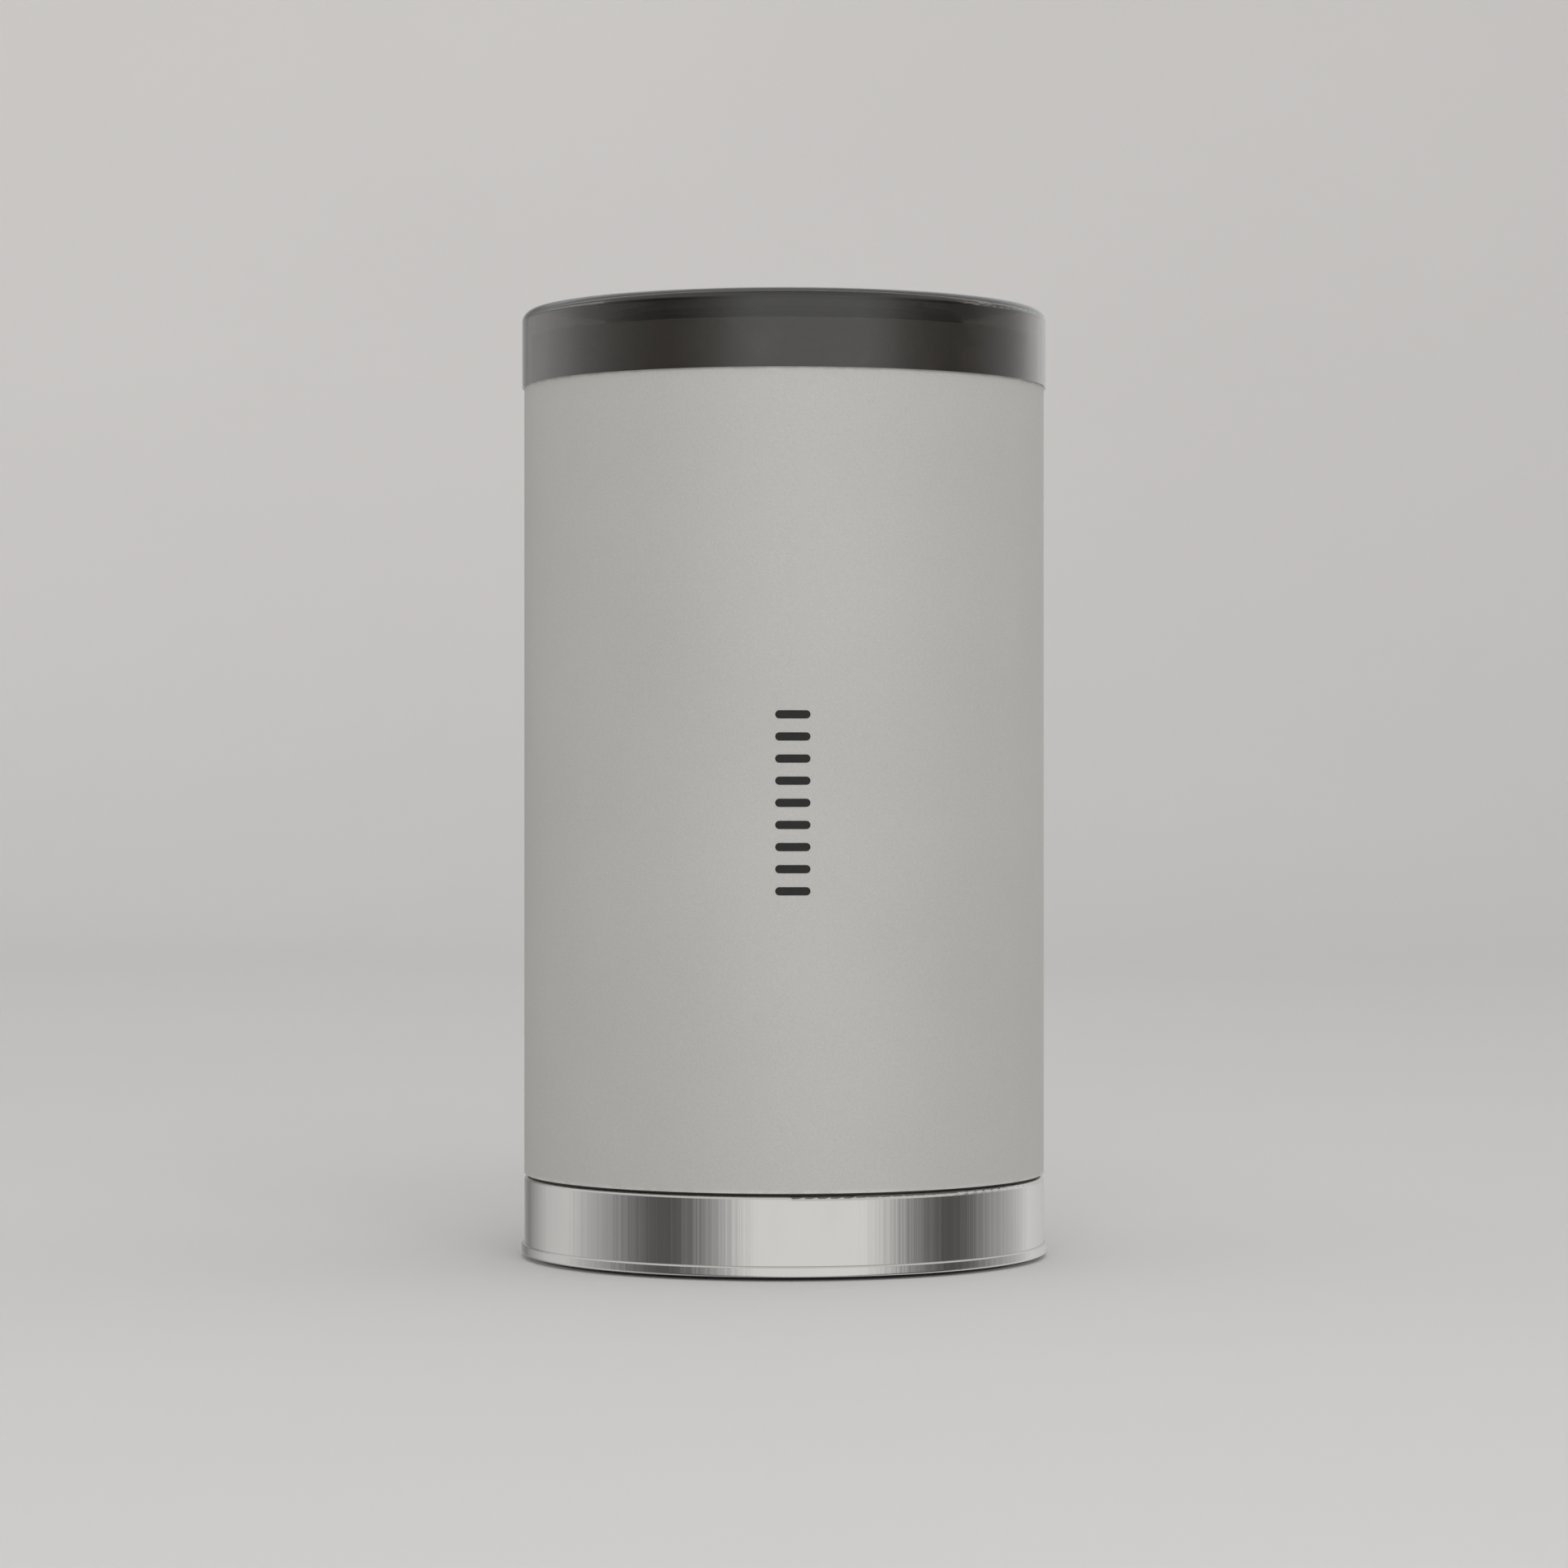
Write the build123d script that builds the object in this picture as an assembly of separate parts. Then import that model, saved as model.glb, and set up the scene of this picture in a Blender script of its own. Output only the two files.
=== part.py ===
"""A can-shaped portable video projector that stands upright on its rear end.

The lens looks out of the top through a smoked cap, and a polished ring closes the rear end. The
frame is +Z up through the lens, with the origin on the floor under the axis. The plain front
faces -Y. The back, +Y, carries the fold-out stand. An azimuth is an angle in degrees from the
back, positive towards +X. All sizes are in millimetres.
"""

from build123d import *
import math
import os

# Body, cap and base ring
BODY_R = 49.6
BODY_WALL = 2.2
CAP_PROUD = 0.4
CAP_HEIGHT = 14.5
CAP_WALL = 1.5
CAP_ROUND = 2.0
CAP_TOP_THICK = 2.0
CAP_ABOVE_FRAME = 17.0
BASE_RING_TOP = 15.5
BASE_RING_WALL = 2.0
BASE_RING_ROUND = 0.9
BASE_LIP_PROUD = 0.6
BASE_LIP_ROUND = 0.48
BASE_LIP_Z = (0.8, 2.8)
SEAM = 0.4
SEAM_DEPTH = 0.6

# Clearances
FIT = 0.1
RUNNING_FIT = 0.06
SCREW_FIT = 0.05
HEAD_CLEAR = 0.3

# Screws: head radius, head height and shank radius of the two kinds
CASE_SCREW = (2.4, 1.6, 1.25)
BOARD_SCREW = (1.8, 1.2, 0.95)
SCREW_CROSS = 0.5
SCREW_CROSS_REACH = 0.6
SCREW_END_GAP = 0.5
CASE_SCREW_LENGTH = 9.0
FRONT_SCREW_LENGTH = 5.5
BOARD_SCREW_LENGTH = 6.0
LAMP_SCREW_LENGTH = 4.5
TUBE_SCREW_LENGTH = 8.0
DRIVER_SCREW_LENGTH = 4.0
FAN_SCREW_BITE = 4.0

# Rear end: rubber foot, cover, flange of the base ring, frame with its deck
FOOT_PROUD = 1.2
FOOT_INSET = 3.0
FOOT_WIDTH = 3.0
FOOT_GROOVE = 1.2
FOOT_CHAMFER = 0.4
COVER_THICK = 3.0
RING_FLANGE_THICK = 1.8
FRAME_WALL = 2.7
DECK_ABOVE_RING = 4.5
DECK_THICK = 2.5
COVER_POST_R = 3.5
COVER_SCREW_AZIMUTHS = (65.0, -65.0, 180.0)
CASE_BOSS_R = 3.4
CASE_BOSS_HEIGHT = 12.0
CASE_BOSS_AZIMUTHS = (0.0, 120.0, -120.0)

# Vents, spread about an azimuth on each side of the back
VENT_AZIMUTH = 60.0
VENT_PITCH_DEG = 5.0
VENT_COUNT = 9
VENT_WIDTH = 2.0
VENT_MARGIN = 4.0

# Fan, its shroud and the heat sink, all turned to the vents' azimuth
FAN_SIZE = 50.0
FAN_DEPTH = 10.0
FAN_CORNER = 4.0
FAN_WALL_GAP = 1.9
FAN_RIM = 1.8
FAN_HOLE_INSET = 4.0
FAN_TIP_GAP = 0.6
FAN_HUB_R = 9.5
FAN_HUB_WALL = 1.2
FAN_HUB_RECESS = 0.8
FAN_BLADES = 7
FAN_BLADE_THICK = 1.2
FAN_BLADE_PITCH_DEG = 40.0
FAN_SPOKES = 4
FAN_SPOKE_WIDTH = 2.4
FAN_BASE_THICK = 2.0
FAN_HUB_GAP = 0.5
FAN_STATOR_GAP = 1.0
FAN_SHAFT_R = 1.5
SHROUD_DEPTH = 8.0
SHROUD_SIDE = 2.0
SINK_SIDE = 1.0
SINK_WALL_GAP = 6.2
SINK_PLATE = 5.0
SINK_FINS = 11
SINK_FIN_THICK = 1.2
SINK_LEG_THICK = 4.0
SINK_FIN_LIFT = 4.5
SINK_ABOVE_FAN = 0.5
SINK_SCREW_INSET = 4.0
SINK_HOLE_FLOOR = 1.0

# Lamp
LAMP_BOARD = 28.0
LAMP_BOARD_THICK = 1.6
LAMP_CHIP = 14.0
LAMP_CHIP_THICK = 1.0
LAMP_SCREW_INSET = 3.0
LAMP_CORNER = 2.0
LAMP_CHIP_CORNER = 1.0

# Optics housing: round below, a box for the picture panel above
HOUSING_TUBE_R = 24.0
HOUSING_WALL = 2.0
HOUSING_TUBE_LENGTH = 18.0
HOUSING_FLANGE = 3.0
HOUSING_FLANGE_WIDTH = 4.0
HOUSING_SCREW_INSET = 3.3
HOUSING_FAR_SCREW_AZIMUTH = 140.0
BOX_HEIGHT = 22.0
BOX_CORNER = 3.0
BOX_BOSS_R = 2.6
BOX_BOSS_INSET = 4.2
CONDENSER_EDGE = 3.0
CONDENSER_DOME = 7.0
CONDENSER_LIFT = 6.0
CONDENSER_SEAT = (3.5, 1.5)
SHEET_X = 48.0
SHEET_Y = 30.0
SHEET_RIM = 8.0
SHEET_THICK = 1.8
PANEL_THICK = 2.2
SHEET_LAP = 2.0
STACK_PLAY = 0.2

# Lens tube, barrel and glass
LENS_PLATE = 3.0
LENS_TUBE_WALL = 3.0
LENS_TUBE_LENGTH = 31.0
GEAR_SEAT = 3.0
GEAR_SEAT_WIDTH = 3.5
BARREL_R = 21.0
BARREL_LENGTH = 44.0
BARREL_CHAMFER = 0.6
BARREL_FRONT_WALL = 2.1
BARREL_REAR_WALL = 4.9
BARREL_LIP = 1.6
BARREL_LIP_THICK = 4.0
LENS_RECESS = 10.0
LENS_RING_THICK = 1.6
LENS_RING_WIDTH = 1.6
LENS_RING_SINK = 1.0
LENS_RING_STEPS = 3
LENS_RING_STEP = 0.35
FRONT_LENS_EDGE = 3.0
FRONT_LENS_DOME = 4.2
FRONT_LENS_DEPTH = 13.0
REAR_LENS_EDGE = 3.5
REAR_LENS_DOME = 2.4
SPACER_LENGTH = 12.8
MIDDLE_LENS_EDGE = 6.0
MIDDLE_LENS_HOLLOW = 1.6

# Focus gear ring and thumb wheel
GEAR_MODULE = 1.0
GEAR_ANGLE_DEG = 25.0
GEAR_ADDENDUM = 0.9
GEAR_DEDENDUM = 1.2
GEAR_BACKLASH = 0.24
GEAR_THICK = 6.0
WHEEL_TEETH = 12
WHEEL_TUBE_GAP = 4.74
WHEEL_AZIMUTH = 60.0
WHEEL_PROUD = 1.6
WHEEL_THICK = 6.4
WHEEL_CHAMFER = 0.5
WHEEL_GRIPS = 36
WHEEL_GRIP_R = 0.45
WHEEL_SLOT_GAP = 0.6
WHEEL_SLOT_CORNER = 1.5
AXLE_R = 1.5
AXLE_SOCKET_WALL = 2.0
AXLE_COVER = 1.0
AXLE_ARM_THICK = 3.0
AXLE_ARM_WIDTH = 9.0

# Front frame and lens bezel, under the cap
FRONT_BOSS_HEIGHT = 6.8
FRONT_PLATE = 3.0
FRONT_HOLE_GAP = 1.0
FRONT_COLLAR_WALL = 2.0
FRONT_COLLAR_BELOW_TOP = 5.4
FRONT_CAP_GAP = 0.2
SEAT_COLLAR_WALL = 2.4
SEAT_COLLAR_HEIGHT = 5.0
LEDGE_WIDTH = 2.4
LEDGE_HEIGHT = 4.0
FRONT_SCREW_AZIMUTHS = (35.0, -35.0, 112.0, -112.0)
BEZEL_FLANGE = 7.8
BEZEL_LIP = 8.9
BEZEL_SINK = 0.3
BEZEL_RIM = 2.7
BEZEL_THROAT = 2.0
BEZEL_THROAT_GAP = 1.2
SENSOR_BOARD_GAP = 6.3
SENSOR_BOARD_THICK = 1.2
SENSOR_R = 38.0
SENSOR_SIZE = (6.0, 5.0, 4.0)
SENSOR_EYE_R = 2.0

# Fold-out stand in the back
STAND_BELOW_FRAME = 12.0
STAND_LENGTH = 54.0
STAND_WIDTH = 46.6
STAND_TOP = 2.4
STAND_THICK = 2.6
STAND_CORNER = 4.0
STAND_GAP = 0.4
STAND_SWING = 3.5
STAND_HINGE_DEPTH = 5.0
STAND_KNUCKLE_R = 2.5
STAND_KNUCKLE_X = (5.0, 11.0)
STAND_PIN_R = 1.0
STAND_EAR_R = 1.8
STAND_EAR_HALF = 4.8
STAND_EAR_GAP = 0.25
STAND_OUTER_EAR_X = (11.2, 13.4)
STAND_PAD = (30.0, 7.0, 0.8)
STAND_PAD_LIFT = 8.0
PAD_PROUD = 0.5
TRAY_FLOOR_DEPTH = 4.0
TRAY_WALL = 1.6
TRAY_RIM = 2.5
HINGE_POCKET_HALF = 19.6
HINGE_POCKET_DEPTH = 3.3
HINGE_POCKET_BELOW = 3.0
NOTCH_HALF = 9.0
NOTCH_HEIGHT = 8.0
NOTCH_DEPTH = 6.6
NOTCH_CORNER = 3.0
NOTCH_UNDER_LEAF = 3.0

# Tripod nut in the tray's tongue, below the stand
NUT_BELOW_STAND = 17.0
NUT_R = 5.0
NUT_THREAD_R = 3.175
NUT_LENGTH = 8.0
NUT_BOSS_WALL = 1.8
NUT_RECESS = 0.4
NUT_BACK = 1.4
TONGUE_HALF = 10.5
TONGUE_BELOW_NUT = 9.0

# Rubber pads low on the back: width, height and depth in the wall
SIDE_PAD = (12.0, 6.0, 0.7)
SIDE_PAD_X = 16.0
SIDE_PAD_LIFT = 8.1

# Buttons at the left of the back
BUTTON_AZIMUTH = -60.0
BUTTON_BELOW_FRAME = 14.0
BUTTON_PITCH = 12.0
POWER_R = 4.6
VOLUME_R = 3.6
BUTTON_PROUD = 0.5
BUTTON_GAP = 0.25
BUTTON_ROUND = 0.35
BUTTON_FLANGE = 0.9
BUTTON_FLANGE_THICK = 1.0
BUTTON_REST_GAP = 0.2
BUTTON_TRAVEL = 0.8
SWITCH_GAP = 0.15
SWITCH_STEM_R = 1.4
SWITCH_SIDE = 5.0
SWITCH_HEIGHT = 2.0
SWITCH_WELL = 0.4
KEY_BOARD_DEPTH = 8.4
KEY_BOARD_THICK = 1.2
KEY_BOARD_WIDTH = 12.0
KEY_BOARD_BELOW = 5.0
KEY_TAB_THICK = 1.6

# Boards and sockets. A socket's place is its x, then its nose's size on the cover. A framed
# socket's make is its wall, then its tongue's width, thickness and offset. A round one's is its
# bore, its pin and the side of its body. The main board's posts are an azimuth on each side, and
# how far in from the board's edge.
BOARD_THICK = 1.6
BOARD_POST_R = 2.6
MAIN_BOARD_GAP = 2.2
MAIN_BOARD_EDGE_Y = -2.0
MAIN_BOARD_DROP = 6.0
MAIN_BOARD_POSTS = ((106.7, 11.3), (152.1, 4.1))
SOCKET_Y = -21.0
SOCKET_RECESS = 0.4
SOCKET_OPENING_GAP = 0.3
SOCKET_CORNER = 0.5
SOCKET_FLOOR = 2.0
SOCKET_TONGUE_SHY = 1.0
HDMI_PLACE = (-8.0, 15.2, 6.4, 1.2)
USB_PLACE = (10.5, 14.4, 7.2, 0.6)
POWER_PLACE = (-25.0, 4.2)
AUDIO_PLACE = (25.5, 3.2)
HDMI_MAKE = (0.6, 11.2, 1.3, 0.4)
USB_MAKE = (0.7, 11.0, 1.8, 1.4)
POWER_MAKE = (2.9, 1.0, 9.0)
AUDIO_MAKE = (1.8, 0.0, 7.0)
DRIVER_BOARD_X = 30.0
DRIVER_BOARD_HEIGHT = 33.0
DRIVER_POST_X = 24.0
DRIVER_POST_LENGTH = 3.0
DRIVER_TUBE_GAP = 2.0
DRIVER_POST_LIFTS = (4.0, 18.0)
MAIN_CHIPS = ((-24.0, -10.0, -22.0, -8.0, 1.8), (16.0, 25.0, -24.0, -15.0, 3.2))
DRIVER_CHIPS = ((-18.0, -4.0, 13.0, 27.0, 1.8), (2.0, 12.0, 18.0, 28.0, 1.2), (15.0, 21.0, 8.0, 14.0, 1.2))
LINK_CONNECTOR = (4.0, 2.4)
LINK_CONNECTOR_LIFT = 2.0
RIBBON_THICK = 0.3
PANEL_RIBBON_HALF = 10.0
PANEL_RIBBON_DROP = 6.0
RIBBON_GAP = 0.7
RIBBON_SLOT_GAP = 1.0
RIBBON_SLOT_HALF = 2.0
LINK_RIBBON_X = (2.0, 14.0)
LINK_RIBBON_STEP = 5.0
LINK_RIBBON_Y = -34.2

# Speaker in the rear end
SPEAKER_Y = 19.0
SPEAKER_R = 17.6
SPEAKER_FLANGE = 1.6
SPEAKER_FLANGE_WIDTH = 3.2
SPEAKER_SHEET = 1.0
SPEAKER_NECK_R = 6.0
SPEAKER_DEPTH = 7.0
SPEAKER_MAGNET_R = 9.0
SPEAKER_MAGNET = 5.0
CONE_PAPER = 0.6
CONE_DEPTH = 3.6
DUST_CAP_R = 5.0
SPEAKER_HOLE_R = 0.8
SPEAKER_HOLE_PITCH = 3.4
SPEAKER_HOLE_RINGS = 4

# Radii that follow from the sizes above
TINY = 0.01
BIG = 200.0
BODY_IN = BODY_R - BODY_WALL
CAP_R = BODY_R + CAP_PROUD
CAP_IN = CAP_R - CAP_WALL
BASE_RING_IN = BODY_R - BASE_RING_WALL
COVER_R = BASE_RING_IN - FIT
FRAME_R = BASE_RING_IN - FIT
FRAME_IN = FRAME_R - FRAME_WALL
SPIGOT_R = BODY_IN - FIT
FOOT_R = COVER_R - FOOT_INSET
FOOT_IN = FOOT_R - FOOT_WIDTH
COVER_SCREW_CIRCLE = FOOT_IN - 2 * FIT - CASE_SCREW[0] - HEAD_CLEAR
CASE_BOSS_CIRCLE = FRAME_IN - FIT - CASE_SCREW[0] - HEAD_CLEAR
COLLAR_R = CAP_IN - FRONT_CAP_GAP
COLLAR_IN = SPIGOT_R - FRONT_COLLAR_WALL
FRONT_SCREW_CIRCLE = COLLAR_IN - CASE_SCREW[0] - HEAD_CLEAR
LEDGE_IN = BODY_IN - LEDGE_WIDTH
LENS_TUBE_IN = BARREL_R + RUNNING_FIT
LENS_TUBE_R = LENS_TUBE_IN + LENS_TUBE_WALL
GEAR_SEAT_R = LENS_TUBE_R + GEAR_SEAT_WIDTH
SEAT_COLLAR_R = LENS_TUBE_R + SEAT_COLLAR_WALL
BEZEL_R = SEAT_COLLAR_R + BEZEL_FLANGE
FRONT_LENS_R = BARREL_R - BARREL_FRONT_WALL - FIT
REAR_LENS_R = BARREL_R - BARREL_REAR_WALL - FIT
WHEEL_RIM_R = (BODY_R + WHEEL_PROUD - LENS_TUBE_R - WHEEL_TUBE_GAP) / 2
RING_TEETH = round(2 * (BODY_R + WHEEL_PROUD - WHEEL_RIM_R) / GEAR_MODULE) - WHEEL_TEETH
WHEEL_CIRCLE = GEAR_MODULE * (RING_TEETH + WHEEL_TEETH) / 2
WHEEL_R = BODY_R + WHEEL_PROUD - WHEEL_CIRCLE
MAIN_BOARD_R = FRAME_IN - MAIN_BOARD_GAP
SENSOR_BOARD_R = COLLAR_IN - SENSOR_BOARD_GAP
HOUSING_TUBE_IN = HOUSING_TUBE_R - HOUSING_WALL
CONDENSER_R = HOUSING_TUBE_IN - FIT
STAND_R = BODY_R - FIT
TRAY_RIM_R = BODY_IN - FIT
TRAY_FLOOR_R = BODY_R - TRAY_FLOOR_DEPTH
NUT_BOSS_R = NUT_R + NUT_BOSS_WALL
FAN_BORE_R = FAN_SIZE / 2 - FAN_RIM
FAN_TIP_R = FAN_BORE_R - FAN_TIP_GAP

# Depths and widths that follow
FAN_FACE_Y = math.sqrt((BODY_IN - FAN_WALL_GAP) ** 2 - (FAN_SIZE / 2) ** 2) - FAN_DEPTH
SINK_HALF = FAN_SIZE / 2 + SINK_SIDE
SINK_FRONT_Y = -math.sqrt((BODY_IN - SINK_WALL_GAP) ** 2 - SINK_HALF**2)
SINK_BACK_Y = FAN_FACE_Y - SHROUD_DEPTH
BOX_X = SHEET_X + 2 * SHEET_RIM
BOX_Y = SHEET_Y + 2 * SHEET_RIM
BOX_CORNERS = [(x * (BOX_X / 2 - BOX_BOSS_INSET), y * (BOX_Y / 2 - BOX_BOSS_INSET))
               for x in (-1, 1) for y in (-1, 1)]
DRIVER_BOARD_Y1 = -max(BOX_Y / 2 + DRIVER_POST_LENGTH, HOUSING_TUBE_R + DRIVER_TUBE_GAP)
DRIVER_BOARD_Y0 = DRIVER_BOARD_Y1 - BOARD_THICK
STAND_HINGE_Y = BODY_R - STAND_HINGE_DEPTH
HINGE_POCKET_Y = STAND_HINGE_Y - HINGE_POCKET_DEPTH
NOTCH_FLOOR_Y = BODY_R - NOTCH_DEPTH
NUT_FACE_Y = BODY_R - NUT_RECESS
KEY_BOARD_Y0 = BODY_IN - KEY_BOARD_DEPTH
KEY_BOARD_Y1 = KEY_BOARD_Y0 + KEY_BOARD_THICK
SWITCH_FACE_Y = KEY_BOARD_Y1 + SWITCH_HEIGHT

# Heights that follow, from the floor up
COVER_Z0 = FOOT_PROUD
COVER_Z1 = COVER_Z0 + COVER_THICK
FRAME_Z0 = COVER_Z1 + RING_FLANGE_THICK
SLEEVE_Z0 = BASE_RING_TOP + SEAM
DECK_Z0 = BASE_RING_TOP + DECK_ABOVE_RING
DECK_Z1 = DECK_Z0 + DECK_THICK
MAIN_BOARD_Z1 = DECK_Z0 - MAIN_BOARD_DROP
MAIN_BOARD_Z0 = MAIN_BOARD_Z1 - BOARD_THICK
SOCKET_Z0 = COVER_Z0 + SOCKET_RECESS
SIDE_PAD_Z = SLEEVE_Z0 + SIDE_PAD_LIFT
FAN_Z1 = DECK_Z1 + FAN_SIZE
FAN_MID_Z = DECK_Z1 + FAN_SIZE / 2
SINK_Z1 = FAN_Z1 + SINK_ABOVE_FAN
LAMP_Z1 = SINK_Z1 + LAMP_BOARD_THICK
CONDENSER_Z0 = SINK_Z1 + CONDENSER_LIFT
BOX_Z0 = SINK_Z1 + HOUSING_TUBE_LENGTH
BOX_Z1 = BOX_Z0 + BOX_HEIGHT
HOLDER_THICK = (BOX_HEIGHT - HOUSING_WALL - STACK_PLAY) / 3
LENS_PLATE_Z1 = BOX_Z1 + LENS_PLATE
SEAT_Z = LENS_PLATE_Z1 + LENS_TUBE_LENGTH
GEAR_Z0 = SEAT_Z + FIT
GEAR_Z1 = GEAR_Z0 + GEAR_THICK
WHEEL_Z1 = SEAT_Z
WHEEL_Z0 = WHEEL_Z1 - WHEEL_THICK
AXLE_ARM_Z1 = WHEEL_Z0 - FIT
AXLE_ARM_Z0 = AXLE_ARM_Z1 - AXLE_ARM_THICK
FRONT_Z0 = GEAR_Z1 + FIT + FRONT_BOSS_HEIGHT
FRONT_Z1 = FRONT_Z0 + FRONT_PLATE
SEAT_COLLAR_Z1 = FRONT_Z1 + SEAT_COLLAR_HEIGHT
HEIGHT = FRONT_Z1 + CAP_ABOVE_FRAME
SLEEVE_Z1 = HEIGHT - CAP_HEIGHT
COLLAR_Z1 = HEIGHT - FRONT_COLLAR_BELOW_TOP
BARREL_Z1 = HEIGHT - LENS_RECESS
BARREL_Z0 = BARREL_Z1 - BARREL_LENGTH
FRONT_LENS_Z0 = BARREL_Z1 - FRONT_LENS_DEPTH
REAR_LENS_Z0 = BARREL_Z0 + LENS_RING_THICK
SPACER_Z0 = REAR_LENS_Z0 + REAR_LENS_EDGE
MIDDLE_LENS_Z0 = SPACER_Z0 + SPACER_LENGTH
BARREL_LIP_Z0 = MIDDLE_LENS_Z0 + MIDDLE_LENS_EDGE
STAND_HINGE_Z = FRONT_Z0 - STAND_BELOW_FRAME
STAND_Z0 = STAND_HINGE_Z - STAND_LENGTH
STAND_Z1 = STAND_HINGE_Z + STAND_TOP
NUT_Z = STAND_Z0 - NUT_BELOW_STAND
NOTCH_Z0 = STAND_Z0 - NOTCH_HEIGHT
TRAY_Z0 = NOTCH_Z0 - TRAY_WALL - STAND_GAP
TRAY_Z1 = FRONT_Z0 - LEDGE_HEIGHT - STAND_GAP
POWER_Z = FRONT_Z0 - BUTTON_BELOW_FRAME
KEY_PLACES = ((POWER_R, POWER_Z), (VOLUME_R, POWER_Z - BUTTON_PITCH),
              (VOLUME_R, POWER_Z - 2 * BUTTON_PITCH))
KEY_BOARD_Z0 = KEY_PLACES[-1][1] - KEY_BOARD_BELOW
KEY_BOARD_Z1 = FRONT_Z0 - LEDGE_HEIGHT - 1
DRIVER_BOARD_Z1 = BOX_Z1 - HOUSING_WALL
DRIVER_BOARD_Z0 = DRIVER_BOARD_Z1 - DRIVER_BOARD_HEIGHT


# Shapes used over and over
def disc(radius, z0, z1, x=0.0, y=0.0):
    """An upright cylinder."""
    low = (Align.CENTER, Align.CENTER, Align.MIN)
    return Pos(x, y, z0) * Cylinder(radius, z1 - z0, align=low)


def tube(outer, inner, z0, z1):
    """An upright tube about the axis."""
    return disc(outer, z0, z1) - disc(inner, z0 - 1, z1 + 1)


def block(x0, x1, y0, y1, z0, z1):
    """A box between two corners."""
    centre = Pos((x0 + x1) / 2, (y0 + y1) / 2, (z0 + z1) / 2)
    return centre * Box(x1 - x0, y1 - y0, z1 - z0)


def rod_y(radius, y0, y1, x, z):
    """A cylinder along Y."""
    low = (Align.CENTER, Align.CENTER, Align.MIN)
    return Pos(x, y0, z) * Rot(-90, 0, 0) * Cylinder(radius, y1 - y0, align=low)


def rod_x(radius, x0, x1, y, z):
    """A cylinder along X."""
    low = (Align.CENTER, Align.CENTER, Align.MIN)
    return Pos(x0, y, z) * Rot(0, 90, 0) * Cylinder(radius, x1 - x0, align=low)


def pad_y(width, height, corner, y0, y1, x, z):
    """A plate with round corners, facing along Y, centred on x and z."""
    face = Plane(origin=(x, y0, z), x_dir=(1, 0, 0), z_dir=(0, 1, 0))
    return extrude(face * RectangleRounded(width, height, corner), amount=y1 - y0)


def window(half, z0, z1, corner):
    """A cutter or outline that faces the back: symmetric in x, between two heights."""
    return pad_y(2 * half, z1 - z0, corner, 0, BIG, 0, (z0 + z1) / 2)


def pad_z(width, depth, corner, z0, z1, x=0.0, y=0.0):
    """A plate with round corners, lying flat, centred on x and y."""
    return extrude(Pos(x, y, z0) * RectangleRounded(width, depth, corner), amount=z1 - z0)


def turned(shape, azimuth):
    """Carries a shape that is modelled at the back round to an azimuth."""
    return Rot(0, 0, -azimuth) * shape


def place(azimuth, radius):
    """The x and y of a point at an azimuth."""
    angle = math.radians(azimuth)
    return radius * math.sin(angle), radius * math.cos(angle)


def mirrored(x_range):
    """A range of x and its mirror image."""
    x0, x1 = x_range
    return [(x0, x1), (-x1, -x0)]


def revolved(points):
    """A solid turned about the axis from a closed outline of (radius, z) points."""
    outline = Polyline(*[(r, 0, z) for r, z in points], close=True)
    return revolve(make_face(outline), axis=Axis.Z)


def screw(kind, length, x, y, z, upward=False):
    """A cross-head screw whose head seats at z, with its shank downward unless told otherwise."""
    head_r, head_height, shank_r = kind
    body = disc(head_r, 0, head_height) + disc(shank_r, -length, 0)
    arm = head_r * SCREW_CROSS_REACH
    slot = block(-arm, arm, -SCREW_CROSS / 2, SCREW_CROSS / 2, head_height / 2, head_height + 1)
    body -= slot
    body -= Rot(0, 0, 90) * slot
    flip = Rot(180, 0, 0) if upward else Rot(0, 0, 0)
    return Pos(x, y, z) * flip * body


def shank_hole(kind, z0, z1, x, y):
    """The hole that a screw's shank passes or bites, between two heights."""
    return disc(kind[2] + SCREW_FIT, z0, z1, x, y)


def head_hole(kind, z0, z1, x, y):
    """The wider hole that a screw's head sits in."""
    return disc(kind[0] + FIT, z0, z1, x, y)


def round_lens(radius, z0, z1, below, above):
    """A lens with a flat land at its rim, domed by below and above. A negative dome is hollow."""
    face_r = radius - LENS_RING_WIDTH

    def surface(z, dome):
        if not dome:
            return Line((0, 0, z), (face_r, 0, z))
        sphere = (face_r**2 + dome**2) / (2 * abs(dome))
        rise = abs(dome) - sphere + math.sqrt(sphere**2 - face_r**2 / 4)
        middle = (face_r / 2, 0, z + math.copysign(rise, dome))
        return ThreePointArc((0, 0, z + dome), middle, (face_r, 0, z))

    sides = [surface(z0, -below), surface(z1, above), Line((face_r, 0, z0), (radius, 0, z0)),
             Line((radius, 0, z0), (radius, 0, z1)), Line((radius, 0, z1), (face_r, 0, z1)),
             Line((0, 0, z0 - below), (0, 0, z1 + above))]
    return revolve(make_face(sides), axis=Axis.Z)


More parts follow.
